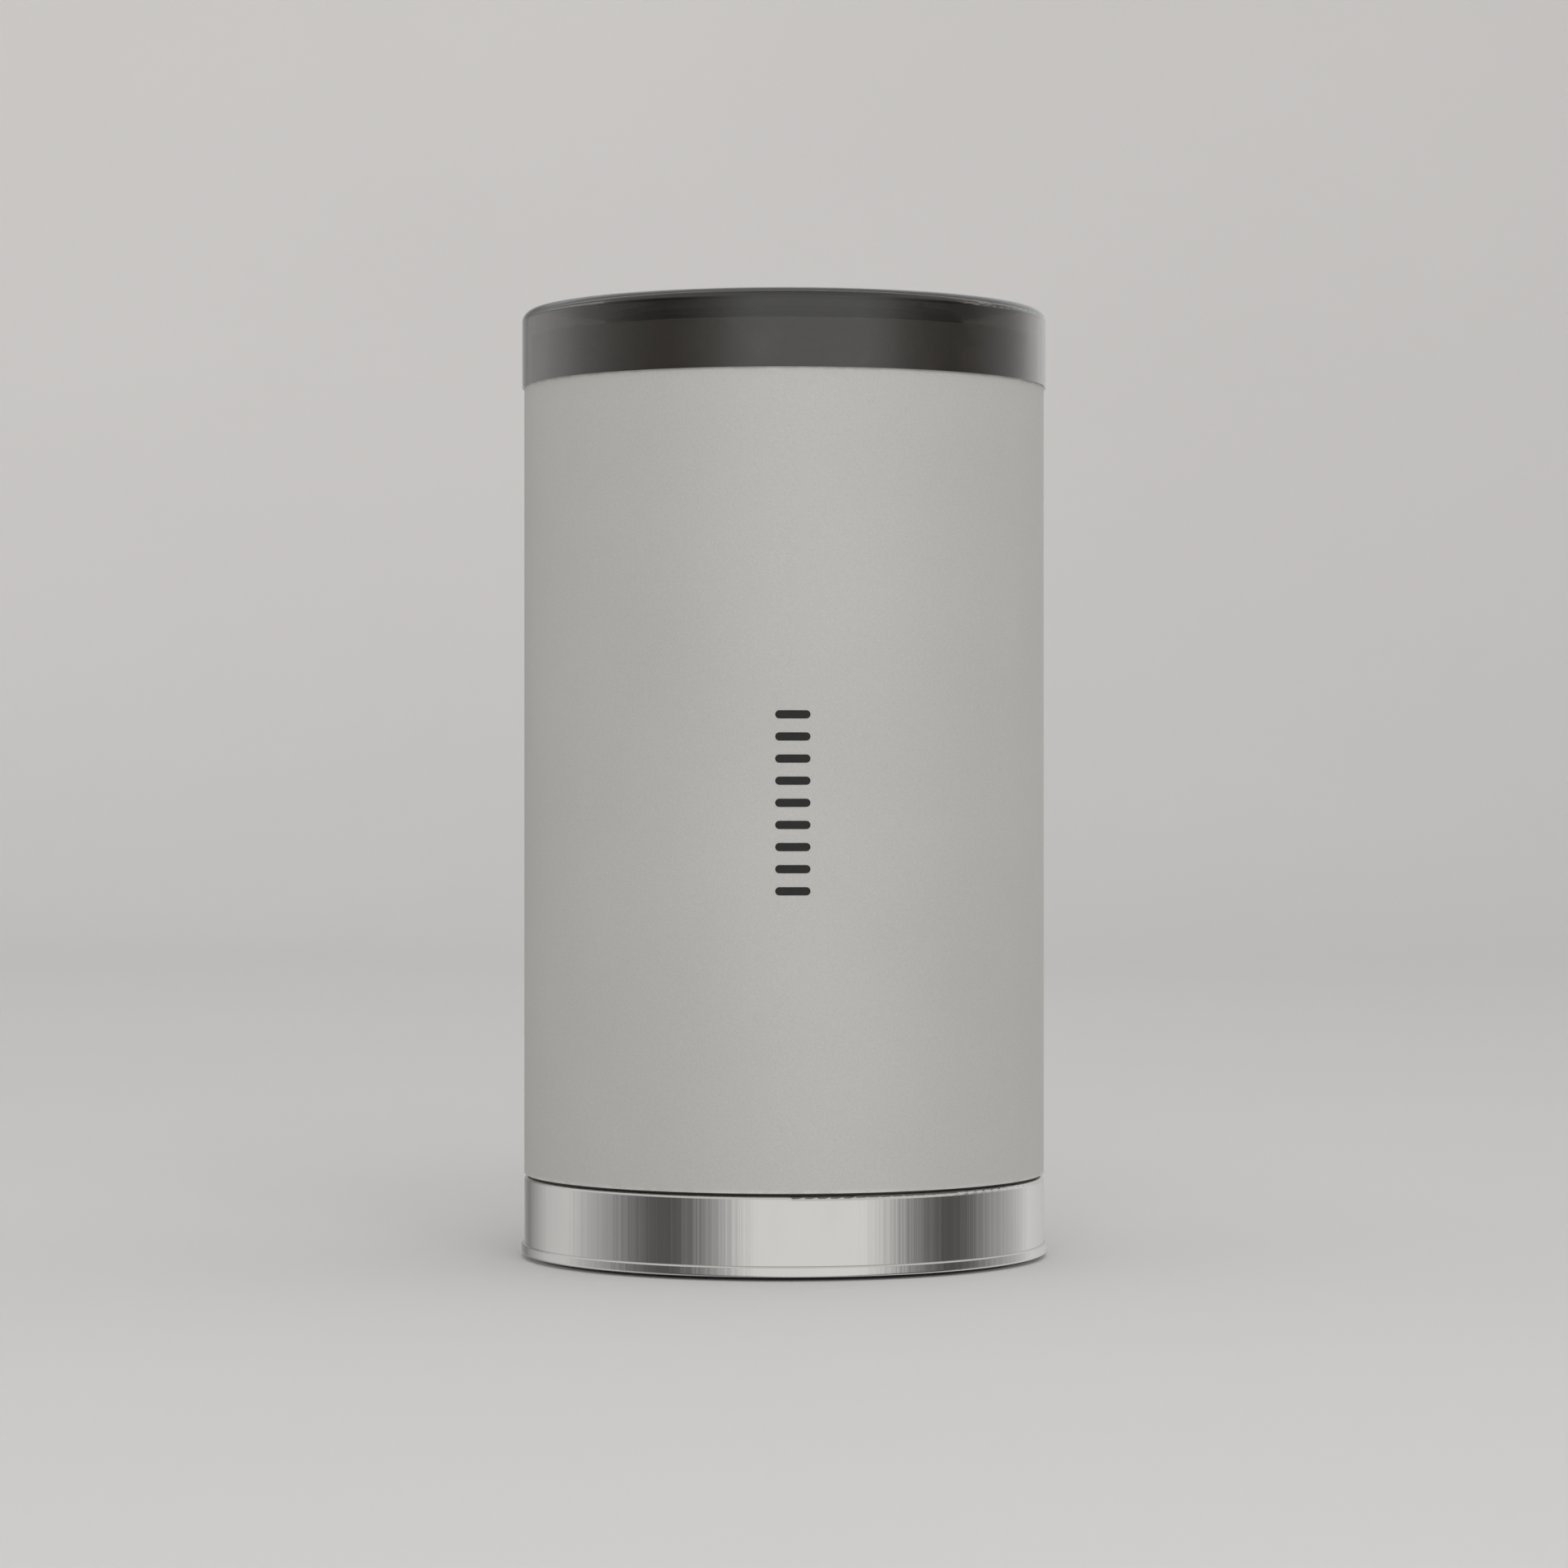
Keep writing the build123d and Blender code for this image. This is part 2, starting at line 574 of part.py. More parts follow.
def gear_face(teeth):
    """The outline of a spur gear, with one tooth centred on +X."""
    pitch_r = GEAR_MODULE * teeth / 2
    pressure = math.radians(GEAR_ANGLE_DEG)
    base_r = pitch_r * math.cos(pressure)
    tip_r = pitch_r + GEAR_ADDENDUM
    root_r = pitch_r - GEAR_DEDENDUM
    half_tooth = (math.pi * GEAR_MODULE / 2 - GEAR_BACKLASH) / 2 / pitch_r

    def half_angle(r):
        at = math.acos(base_r / r) if r > base_r else 0.0
        return half_tooth + math.tan(pressure) - pressure - math.tan(at) + at

    flank_r = max(base_r, root_r)
    steps = 4
    radii = [flank_r + (tip_r - flank_r) * n / steps for n in range(steps + 1)]
    if root_r < base_r:
        radii.insert(0, root_r)
    points = []
    for tooth in range(teeth):
        middle = 2 * math.pi * tooth / teeth
        flank = [(r, half_angle(r)) for r in radii]
        points += [(r * math.cos(middle - a), r * math.sin(middle - a)) for r, a in flank]
        points += [(r * math.cos(middle + a), r * math.sin(middle + a)) for r, a in reversed(flank)]
    return make_face(Polyline(*points, close=True))


# Casing
def case_boss(azimuth, circle, z0, z1):
    """A screw boss with a rib that joins it to the sleeve's wall."""
    boss = disc(CASE_BOSS_R, z0, z1, 0, circle)
    boss += block(-CASE_BOSS_R, CASE_BOSS_R, circle, BODY_R, z0, z1)
    return turned(boss & disc(BODY_IN + TINY, z0, z1), azimuth)


def vent_slots(azimuth):
    """Upright slots through the sleeve, spread about an azimuth."""
    z0, z1 = DECK_Z1 + VENT_MARGIN, FAN_Z1 - VENT_MARGIN
    slot = window(VENT_WIDTH / 2, z0, z1, VENT_WIDTH / 2 - TINY)
    first = azimuth - VENT_PITCH_DEG * (VENT_COUNT - 1) / 2
    return [turned(slot, first + VENT_PITCH_DEG * n) for n in range(VENT_COUNT)]


def wheel_slot():
    """The slot that the thumb wheel stands out of, as wide as the wheel is at the wall."""
    cross_y = (BODY_IN**2 - WHEEL_R**2 + WHEEL_CIRCLE**2) / (2 * WHEEL_CIRCLE)
    half = math.sqrt(BODY_IN**2 - cross_y**2) + WHEEL_SLOT_GAP
    z0, z1 = WHEEL_Z0 - WHEEL_SLOT_GAP, WHEEL_Z1 + WHEEL_SLOT_GAP
    return turned(window(half, z0, z1, WHEEL_SLOT_CORNER), WHEEL_AZIMUTH)


def body_sleeve():
    """The one-piece matt shell, with bosses for the case screws inside both ends."""
    shell = tube(BODY_R, BODY_IN, SLEEVE_Z0, SLEEVE_Z1)
    ledge_z0 = FRONT_Z0 - LEDGE_HEIGHT
    shell += tube(BODY_IN + TINY, LEDGE_IN, ledge_z0, FRONT_Z0)
    for azimuth in CASE_BOSS_AZIMUTHS:
        x, y = place(azimuth, CASE_BOSS_CIRCLE)
        shell += case_boss(azimuth, CASE_BOSS_CIRCLE, DECK_Z1, DECK_Z1 + CASE_BOSS_HEIGHT)
        shell -= shank_hole(CASE_SCREW, DECK_Z1 - 1, DECK_Z0 + CASE_SCREW_LENGTH + SCREW_END_GAP, x, y)
    for azimuth in FRONT_SCREW_AZIMUTHS:
        x, y = place(azimuth, FRONT_SCREW_CIRCLE)
        shell += case_boss(azimuth, FRONT_SCREW_CIRCLE, ledge_z0, FRONT_Z0)
        shell -= shank_hole(CASE_SCREW, FRONT_Z1 - FRONT_SCREW_LENGTH - SCREW_END_GAP, FRONT_Z0 + 1, x, y)
    for side in (1, -1):
        for slot in vent_slots(side * VENT_AZIMUTH):
            shell -= slot
    shell -= window(STAND_WIDTH / 2 + STAND_GAP, STAND_Z0 - STAND_GAP, STAND_Z1 + STAND_SWING,
                    STAND_CORNER + STAND_GAP)
    shell -= window(NOTCH_HALF, NOTCH_Z0, STAND_Z0 + NOTCH_HEIGHT, NOTCH_CORNER)
    shell -= rod_y(NUT_BOSS_R + FIT, 0, BIG, 0, NUT_Z)
    for x in (SIDE_PAD_X, -SIDE_PAD_X):
        shell -= pad_in_wall(SIDE_PAD, BODY_R, x, SIDE_PAD_Z, FIT)
    shell -= wheel_slot()
    for radius, z in KEY_PLACES:
        shell -= turned(rod_y(radius + BUTTON_GAP, 0, BIG, 0, z), BUTTON_AZIMUTH)
    return shell


def smoked_cap():
    """The tinted acrylic cap over the lens end, with a hole for the lens bezel."""
    cup = disc(CAP_R, SLEEVE_Z1, HEIGHT)
    cup = fillet(cup.edges().group_by(Axis.Z)[-1], CAP_ROUND)
    cup -= disc(CAP_IN, SLEEVE_Z1 - 1, HEIGHT - CAP_TOP_THICK)
    return cup - disc(BEZEL_R + FIT, 0, HEIGHT + 1)


def base_ring():
    """The polished rear ring with its lip, and the flange that the cover and frame clamp."""
    lip = disc(BODY_R + BASE_LIP_PROUD, *BASE_LIP_Z)
    lip = fillet(lip.edges().filter_by(GeomType.CIRCLE), BASE_LIP_ROUND)
    ring = disc(BODY_R, sum(BASE_LIP_Z) / 2, BASE_RING_TOP)
    ring = fillet(ring.edges().group_by(Axis.Z)[-1], BASE_RING_ROUND)
    ring += lip
    ring -= disc(BASE_RING_IN, FRAME_Z0, BASE_RING_TOP + 1)
    ring -= disc(FRAME_IN, COVER_Z1 - 1, FRAME_Z0 + 1)
    return ring - disc(BASE_RING_IN, 0, COVER_Z1)


def socket_openings():
    """What the cover is cut by, round each socket's nose."""
    gap = SOCKET_OPENING_GAP
    cuts = [pad_z(width + 2 * gap, depth + 2 * gap, corner + gap, 0, COVER_Z1 + 1, x, SOCKET_Y)
            for x, width, depth, corner in (HDMI_PLACE, USB_PLACE)]
    cuts += [disc(nose + gap, 0, COVER_Z1 + 1, x, SOCKET_Y) for x, nose in (POWER_PLACE, AUDIO_PLACE)]
    return cuts


def speaker_holes():
    """The speaker's grille: rings of small holes through the cover."""
    holes = [disc(SPEAKER_HOLE_R, 0, COVER_Z1 + 1, 0, SPEAKER_Y)]
    for ring in range(1, SPEAKER_HOLE_RINGS + 1):
        for n in range(6 * ring):
            x, y = place(60 * n / ring, ring * SPEAKER_HOLE_PITCH)
            holes.append(disc(SPEAKER_HOLE_R, 0, COVER_Z1 + 1, x, SPEAKER_Y + y))
    return holes


def rear_cover():
    """The black cover of the rear end: foot groove, sockets' openings and speaker holes."""
    plate = disc(COVER_R, COVER_Z0, COVER_Z1)
    plate -= tube(FOOT_R + FIT, FOOT_IN - FIT, 0, COVER_Z0 + FOOT_GROOVE)
    for azimuth in COVER_SCREW_AZIMUTHS:
        x, y = place(azimuth, COVER_SCREW_CIRCLE)
        plate -= shank_hole(CASE_SCREW, 0, COVER_Z1 + 1, x, y)
        plate -= head_hole(CASE_SCREW, 0, COVER_Z0 + CASE_SCREW[1], x, y)
    return plate - socket_openings() - speaker_holes()


def foot_ring():
    """The rubber ring that the projector stands on, set in the cover's groove."""
    ring = tube(FOOT_R, FOOT_IN, 0, COVER_Z0 + FOOT_GROOVE)
    return chamfer(ring.edges().group_by(Axis.Z)[0], FOOT_CHAMFER)


def sink_screw_places():
    """The screws up into the sink's legs, before the sink is turned."""
    leg_x = SINK_HALF - SINK_LEG_THICK / 2
    ends = (SINK_FRONT_Y + SINK_SCREW_INSET, SINK_BACK_Y - SINK_SCREW_INSET)
    return [(x, y) for x in (-leg_x, leg_x) for y in ends]


def main_board_post_places():
    """The x and y of the posts that the main board hangs from."""
    return [place(side * azimuth, MAIN_BOARD_R - inset) for azimuth, inset in MAIN_BOARD_POSTS
            for side in (1, -1)]


def rear_frame():
    """The black inner frame: its rib fills the seam, and its deck carries the works."""
    frame = tube(FRAME_R, FRAME_IN, FRAME_Z0, BASE_RING_TOP)
    frame += tube(BODY_R - SEAM_DEPTH, FRAME_IN, BASE_RING_TOP, SLEEVE_Z0)
    frame += tube(SPIGOT_R, FRAME_IN, SLEEVE_Z0, DECK_Z1)
    frame += disc(FRAME_IN + TINY, DECK_Z0, DECK_Z1)
    for azimuth in COVER_SCREW_AZIMUTHS:
        x, y = place(azimuth, COVER_SCREW_CIRCLE)
        frame += disc(COVER_POST_R, COVER_Z1, DECK_Z0 + TINY, x, y)
        end_z = COVER_Z0 + CASE_SCREW[1] + CASE_SCREW_LENGTH + SCREW_END_GAP
        frame -= shank_hole(CASE_SCREW, 0, end_z, x, y)
    for x, y in main_board_post_places():
        frame += disc(BOARD_POST_R, MAIN_BOARD_Z1, DECK_Z0 + TINY, x, y)
        frame -= shank_hole(BOARD_SCREW, 0, MAIN_BOARD_Z0 + BOARD_SCREW_LENGTH + SCREW_END_GAP, x, y)
    for azimuth in CASE_BOSS_AZIMUTHS:
        x, y = place(azimuth, CASE_BOSS_CIRCLE)
        frame -= head_hole(CASE_SCREW, 0, DECK_Z0, x, y)
        frame -= shank_hole(CASE_SCREW, 0, DECK_Z1 + 1, x, y)
    for x, y in sink_screw_places():
        frame -= turned(shank_hole(BOARD_SCREW, 0, DECK_Z1 + 1, x, y), VENT_AZIMUTH)
    x0, x1 = LINK_RIBBON_X
    return frame - block(x0 - RIBBON_SLOT_GAP, x1 + RIBBON_SLOT_GAP, LINK_RIBBON_Y - RIBBON_SLOT_HALF,
                         LINK_RIBBON_Y + RIBBON_SLOT_HALF, DECK_Z0 - 1, DECK_Z1 + 1)


def front_frame():
    """The frame under the cap: collars, the gear's stop, the axle's socket and the key tab.

    Its outer collar steps out over the sleeve's end, and centres the cap."""
    frame = tube(SPIGOT_R, BARREL_R + FRONT_HOLE_GAP, FRONT_Z0, FRONT_Z1)
    frame += tube(SPIGOT_R, COLLAR_IN, FRONT_Z1, SLEEVE_Z1 + FIT + TINY)
    frame += tube(COLLAR_R, COLLAR_IN, SLEEVE_Z1 + FIT, COLLAR_Z1)
    frame += tube(SEAT_COLLAR_R, LENS_TUBE_R, FRONT_Z1, SEAT_COLLAR_Z1)
    frame += tube(GEAR_SEAT_R, LENS_TUBE_R, GEAR_Z1 + FIT, FRONT_Z0)
    x, y = place(WHEEL_AZIMUTH, WHEEL_CIRCLE)
    frame += disc(AXLE_R + AXLE_SOCKET_WALL, GEAR_Z1 + FIT, FRONT_Z0, x, y)
    frame -= disc(AXLE_R + SCREW_FIT, 0, FRONT_Z1 - AXLE_COVER, x, y)
    for azimuth in FRONT_SCREW_AZIMUTHS:
        x, y = place(azimuth, FRONT_SCREW_CIRCLE)
        frame -= shank_hole(CASE_SCREW, 0, FRONT_Z1 + 1, x, y)
    half = KEY_BOARD_WIDTH / 2 + 1
    tab = block(-half, half, KEY_BOARD_Y0 - KEY_TAB_THICK, KEY_BOARD_Y0, KEY_BOARD_Z0, FRONT_Z0)
    return frame + turned(tab, BUTTON_AZIMUTH)


def lens_bezel():
    """The dished ring round the lens, seated on the frame's inner collar, with its wide flat rim."""
    top = HEIGHT - BEZEL_SINK
    rim = top - BEZEL_RIM
    throat = BARREL_R + BEZEL_THROAT_GAP
    return revolved([
        (throat, SEAT_COLLAR_Z1),
        (throat, SEAT_COLLAR_Z1 + BEZEL_THROAT),
        (BEZEL_R - BEZEL_LIP, top),
        (BEZEL_R, top),
        (BEZEL_R, rim),
        (SEAT_COLLAR_R, rim),
        (SEAT_COLLAR_R, SEAT_COLLAR_Z1),
    ])


def pad_in_wall(size, wall_r, x, z, grow):
    """A rubber pad that stands PAD_PROUD of the body, or with grow the pocket it sits in."""
    width, height, depth = size
    outline = pad_y(width + 2 * grow, height + 2 * grow, height / 2 - TINY + grow, 0, BIG, x, z)
    outer = BIG if grow else BODY_R + PAD_PROUD
    return outline & tube(outer, wall_r - depth, 0, HEIGHT)


def side_feet():
    """Two rubber pads low on the back, for when the projector lies down."""
    return [pad_in_wall(SIDE_PAD, BODY_R, x, SIDE_PAD_Z, 0) for x in (SIDE_PAD_X, -SIDE_PAD_X)]


# Stand
def stand_leaf():
    """The fold-out stand: a curved leaf flush in the back, with two hinge knuckles."""
    leaf = window(STAND_WIDTH / 2, STAND_Z0, STAND_Z1, STAND_CORNER)
    leaf = leaf & tube(STAND_R, STAND_R - STAND_THICK, STAND_Z0 - 1, STAND_Z1 + 1)
    for x0, x1 in mirrored(STAND_KNUCKLE_X):
        leaf += rod_x(STAND_KNUCKLE_R, x0, x1, STAND_HINGE_Y, STAND_HINGE_Z)
        leaf += block(x0, x1, STAND_HINGE_Y, STAND_HINGE_Y + STAND_KNUCKLE_R,
                      STAND_HINGE_Z - STAND_KNUCKLE_R, STAND_HINGE_Z + STAND_KNUCKLE_R / 2)
    ear_room = STAND_EAR_R + STAND_EAR_GAP
    for x0, x1 in mirrored(STAND_OUTER_EAR_X):
        inner, outer = (x0 - TINY, x1 + STAND_EAR_GAP) if x0 > 0 else (x0 - STAND_EAR_GAP, x1 + TINY)
        leaf -= rod_x(ear_room, inner, outer, STAND_HINGE_Y, STAND_HINGE_Z)
        leaf -= block(inner, outer, 0, STAND_HINGE_Y + STAND_EAR_R, STAND_HINGE_Z + STAND_EAR_R / 2, BIG)
    leaf -= rod_x(STAND_PIN_R + RUNNING_FIT, -BIG, BIG, STAND_HINGE_Y, STAND_HINGE_Z)
    return leaf - pad_in_wall(STAND_PAD, STAND_R, 0, STAND_Z0 + STAND_PAD_LIFT, FIT)


def stand_foot_pad():
    """The rubber strip near the leaf's free end."""
    return pad_in_wall(STAND_PAD, STAND_R, 0, STAND_Z0 + STAND_PAD_LIFT, 0)


def tray_well(half, floor_y, z0, z1):
    """A pocket in the tray: the box that walls it in, and the box cut out of it."""
    outer = half + TRAY_WALL
    walls = block(-outer, outer, floor_y - TRAY_WALL, BIG, z0 - TRAY_WALL, z1 + TRAY_WALL)
    return walls & disc(TRAY_FLOOR_R, 0, HEIGHT), block(-half, half, floor_y, BIG, z0, z1)


def stand_tray():
    """The black well behind the leaf, with the hinge's ears and the tripod nut's boss."""
    outline = window(STAND_WIDTH / 2 + STAND_GAP + TRAY_RIM, TRAY_Z0, TRAY_Z1, STAND_CORNER)
    outline += window(TONGUE_HALF, NUT_Z - TONGUE_BELOW_NUT, TRAY_Z0 + STAND_CORNER, STAND_CORNER / 2)
    tray = outline & tube(TRAY_RIM_R, TRAY_FLOOR_R - TRAY_WALL, 0, HEIGHT)
    well = window(STAND_WIDTH / 2 + STAND_GAP, STAND_Z0 - STAND_GAP, STAND_Z1 + STAND_SWING,
                  STAND_CORNER + STAND_GAP)
    tray -= well - disc(TRAY_FLOOR_R, 0, HEIGHT)
    hinge_z0 = STAND_HINGE_Z - STAND_KNUCKLE_R - HINGE_POCKET_BELOW
    hinge = tray_well(HINGE_POCKET_HALF, HINGE_POCKET_Y, hinge_z0, STAND_Z1 + STAND_SWING)
    notch = tray_well(NOTCH_HALF, NOTCH_FLOOR_Y, NOTCH_Z0, STAND_Z0 + NOTCH_UNDER_LEAF)
    for walls, hollow in (hinge, notch):
        tray += walls
        tray -= hollow
    ears = [(-STAND_EAR_HALF, STAND_EAR_HALF), *mirrored(STAND_OUTER_EAR_X)]
    for x0, x1 in ears:
        tray += block(x0, x1, HINGE_POCKET_Y - TINY, STAND_HINGE_Y, STAND_HINGE_Z - STAND_EAR_R,
                      STAND_HINGE_Z + STAND_EAR_R)
        tray += rod_x(STAND_EAR_R, x0, x1, STAND_HINGE_Y, STAND_HINGE_Z)
    tray -= rod_x(STAND_PIN_R + SCREW_FIT, -BIG, BIG, STAND_HINGE_Y, STAND_HINGE_Z)
    tray += rod_y(NUT_BOSS_R, NUT_FACE_Y - NUT_LENGTH - NUT_BACK, NUT_FACE_Y, 0, NUT_Z)
    return tray - rod_y(NUT_R + SCREW_FIT, NUT_FACE_Y - NUT_LENGTH, BIG, 0, NUT_Z)


def stand_hinge_pin():
    """The steel pin through the ears and knuckles."""
    half = STAND_OUTER_EAR_X[1]
    return rod_x(STAND_PIN_R, -half, half, STAND_HINGE_Y, STAND_HINGE_Z)


def tripod_nut():
    """The brass insert with the camera thread."""
    nut = rod_y(NUT_R, NUT_FACE_Y - NUT_LENGTH, NUT_FACE_Y, 0, NUT_Z)
    return nut - rod_y(NUT_THREAD_R, 0, BIG, 0, NUT_Z)


# Cooling and lamp
def lamp_screw_places():
    """The lamp board's screws, before the sink is turned."""
    half = LAMP_BOARD / 2 - LAMP_SCREW_INSET
    return [(x, y) for x in (-half, half) for y in (-half, half)]


def housing_screw_places():
    """The screws of the optics housing's flange. The near pair stands clear of the fan's duct."""
    circle = HOUSING_TUBE_R + HOUSING_FLANGE_WIDTH / 2
    near = math.degrees(math.acos((SINK_BACK_Y - HOUSING_SCREW_INSET) / circle))
    return [place(side * azimuth + VENT_AZIMUTH, circle)
            for azimuth in (near, HOUSING_FAR_SCREW_AZIMUTH) for side in (1, -1)]


def heat_sink():
    """The aluminium sink: a plate with fins beneath, standing on its two outer fins."""
    sink = block(-SINK_HALF, SINK_HALF, SINK_FRONT_Y, SINK_BACK_Y, SINK_Z1 - SINK_PLATE, SINK_Z1)
    reach = SINK_HALF - SINK_LEG_THICK / 2
    for n in range(SINK_FINS):
        leg = n in (0, SINK_FINS - 1)
        half = (SINK_LEG_THICK if leg else SINK_FIN_THICK) / 2
        foot = DECK_Z1 if leg else DECK_Z1 + SINK_FIN_LIFT
        x = reach * (2 * n / (SINK_FINS - 1) - 1)
        sink += block(x - half, x + half, SINK_FRONT_Y, SINK_BACK_Y, foot, SINK_Z1 - SINK_PLATE + TINY)
    for x, y in lamp_screw_places():
        sink -= shank_hole(BOARD_SCREW, SINK_Z1 - SINK_PLATE + SINK_HOLE_FLOOR, SINK_Z1 + 1, x, y)
    for x, y in sink_screw_places():
        sink -= shank_hole(BOARD_SCREW, 0, DECK_Z0 + BOARD_SCREW_LENGTH + SCREW_END_GAP, x, y)
    sink = turned(sink, VENT_AZIMUTH)
    for x, y in housing_screw_places():
        sink -= shank_hole(BOARD_SCREW, SINK_Z1 - SINK_PLATE + SINK_HOLE_FLOOR, SINK_Z1 + 1, x, y)
    return sink


def lamp_board():
    """The metal-core board of the lamp."""
    board = pad_z(LAMP_BOARD, LAMP_BOARD, LAMP_CORNER, SINK_Z1, LAMP_Z1)
    for x, y in lamp_screw_places():
        board -= shank_hole(BOARD_SCREW, 0, HEIGHT, x, y)
    return turned(board, VENT_AZIMUTH)


def lamp_chip():
    """The light-emitting chip on the board."""
    chip = pad_z(LAMP_CHIP, LAMP_CHIP, LAMP_CHIP_CORNER, LAMP_Z1, LAMP_Z1 + LAMP_CHIP_THICK)
    return turned(chip, VENT_AZIMUTH)


def fan_screw_places():
    """The fan's corner holes, before the fan is turned."""
    half = FAN_SIZE / 2 - FAN_HOLE_INSET
    return [(x, FAN_MID_Z + z) for x in (-half, half) for z in (-half, half)]


def fan_shroud():
    """The duct plate between the sink and the fan, which the fan is screwed to."""
    half = FAN_SIZE / 2 + SHROUD_SIDE
    shroud = block(-half, half, SINK_BACK_Y, FAN_FACE_Y, DECK_Z1, FAN_Z1)
    shroud -= rod_y(FAN_BORE_R, 0, BIG, 0, FAN_MID_Z)
    for x, z in fan_screw_places():
        end_y = FAN_FACE_Y - FAN_SCREW_BITE - SCREW_END_GAP
        shroud -= rod_y(BOARD_SCREW[2] + SCREW_FIT, end_y, BIG, x, z)
    return turned(shroud, VENT_AZIMUTH)


def to_fan(shape):
    """Carries a shape modelled about +Z, face at z = 0, to the fan's place."""
    return turned(Pos(0, FAN_FACE_Y, FAN_MID_Z) * Rot(-90, 0, 0) * shape, VENT_AZIMUTH)


def fan_frame():
    """The square fan housing, with spokes that carry the motor's stator."""
    frame = pad_z(FAN_SIZE, FAN_SIZE, FAN_CORNER, 0, FAN_DEPTH) - disc(FAN_BORE_R, -1, FAN_DEPTH + 1)
    base = FAN_DEPTH - FAN_BASE_THICK
    spoke = block(-FAN_SPOKE_WIDTH / 2, FAN_SPOKE_WIDTH / 2, 0, FAN_BORE_R + 1, base, FAN_DEPTH)
    for n in range(FAN_SPOKES):
        frame += Rot(0, 0, 360 * n / FAN_SPOKES) * spoke
    frame += disc(FAN_HUB_R + FAN_HUB_GAP, base, FAN_DEPTH)
    stator_z0 = FAN_HUB_RECESS + FAN_HUB_WALL + FAN_STATOR_GAP
    frame += disc(FAN_HUB_R - FAN_HUB_WALL - FAN_HUB_GAP, stator_z0, base + TINY)
    frame -= disc(FAN_SHAFT_R + RUNNING_FIT, 0, FAN_DEPTH + 1)
    for x, z in fan_screw_places():
        frame -= disc(BOARD_SCREW[2] + SCREW_FIT, -1, FAN_DEPTH + 1, x, z - FAN_MID_Z)
    return to_fan(frame)


def fan_rotor():
    """The hub cup with its blades."""
    top = FAN_DEPTH - FAN_BASE_THICK - FAN_HUB_GAP
    hub = disc(FAN_HUB_R, FAN_HUB_RECESS, top)
    hub -= disc(FAN_HUB_R - FAN_HUB_WALL, FAN_HUB_RECESS + FAN_HUB_WALL, top + 1)
    hub -= disc(FAN_SHAFT_R, 0, top)
    reach = tube(FAN_TIP_R, FAN_HUB_R - FAN_HUB_WALL / 2, FAN_HUB_RECESS + FIT, top - FIT)
    blade = Box(FAN_BLADE_THICK, FAN_SIZE / 2, 2 * FAN_DEPTH)
    blade = Pos(0, (FAN_HUB_R + FAN_TIP_R) / 2, top / 2) * Rot(0, FAN_BLADE_PITCH_DEG, 0) * blade
    for n in range(FAN_BLADES):
        hub += (Rot(0, 0, 360 * n / FAN_BLADES) * blade) & reach
    return to_fan(hub)


def fan_shaft():
    """The steel shaft in the rotor, running in the stator's bore."""
    return to_fan(disc(FAN_SHAFT_R, FAN_HUB_RECESS, FAN_DEPTH - FAN_HUB_GAP))


# Optics housing and what it holds
def holder_z(level):
    """The lower height of one of the three stacked holders."""
    return BOX_Z0 + HOUSING_WALL + level * HOLDER_THICK


def optics_housing():
    """The black light box: a round flange and tube below, a box above for the panel."""
    shell = disc(HOUSING_TUBE_R + HOUSING_FLANGE_WIDTH, SINK_Z1, SINK_Z1 + HOUSING_FLANGE)
    shell += disc(HOUSING_TUBE_R, SINK_Z1, BOX_Z0 + TINY)
    shell += pad_z(BOX_X, BOX_Y, BOX_CORNER, BOX_Z0, BOX_Z1)
    seat_width, seat_thick = CONDENSER_SEAT
    shell -= disc(HOUSING_TUBE_IN, SINK_Z1 - 1, CONDENSER_Z0 - seat_thick)
    shell -= disc(HOUSING_TUBE_IN - seat_width, SINK_Z1 - 1, CONDENSER_Z0 + 1)
    shell -= disc(HOUSING_TUBE_IN, CONDENSER_Z0, BOX_Z1)
    shell -= pad_z(BOX_X - 2 * HOUSING_WALL, BOX_Y - 2 * HOUSING_WALL,
                   BOX_CORNER - HOUSING_WALL, BOX_Z0 + HOUSING_WALL, BOX_Z1 + 1)
    outline = pad_z(BOX_X, BOX_Y, BOX_CORNER, BOX_Z0 + 1, BOX_Z1)
    for x, y in BOX_CORNERS:
        boss = disc(BOX_BOSS_R, BOX_Z0 + 1, BOX_Z1, x, y)
        out_x, out_y = math.copysign(BOX_BOSS_INSET, x), math.copysign(BOX_BOSS_INSET, y)
        boss += Pos(x + out_x / 2, y + out_y / 2, (BOX_Z0 + 1 + BOX_Z1) / 2) * Box(
            BOX_BOSS_INSET, BOX_BOSS_INSET, BOX_HEIGHT - 1)
        shell += boss & outline
        end_z = LENS_PLATE_Z1 - TUBE_SCREW_LENGTH - SCREW_END_GAP
        shell -= shank_hole(BOARD_SCREW, end_z, BOX_Z1 + 1, x, y)
    for x, y in housing_screw_places():
        shell -= shank_hole(BOARD_SCREW, 0, SINK_Z1 + HOUSING_FLANGE + 1, x, y)
    for x, z in driver_post_places():
        shell += rod_y(BOARD_POST_R, DRIVER_BOARD_Y1, -BOX_Y / 2 + 1, x, z)
        end_y = DRIVER_BOARD_Y0 + DRIVER_SCREW_LENGTH + SCREW_END_GAP
        shell -= rod_y(BOARD_SCREW[2] + SCREW_FIT, DRIVER_BOARD_Y1 - 1, end_y, x, z)
    slot_half = PANEL_RIBBON_HALF + RIBBON_SLOT_GAP
    return shell - block(-slot_half, slot_half, -BOX_Y, 0, panel_z() - RIBBON_GAP, panel_z() + RIBBON_GAP)


def condenser_lens():
    """The plano-convex lens that gathers the lamp's light, seated on the housing's ring."""
    return round_lens(CONDENSER_R, CONDENSER_Z0, CONDENSER_Z0 + CONDENSER_EDGE, 0, CONDENSER_DOME)


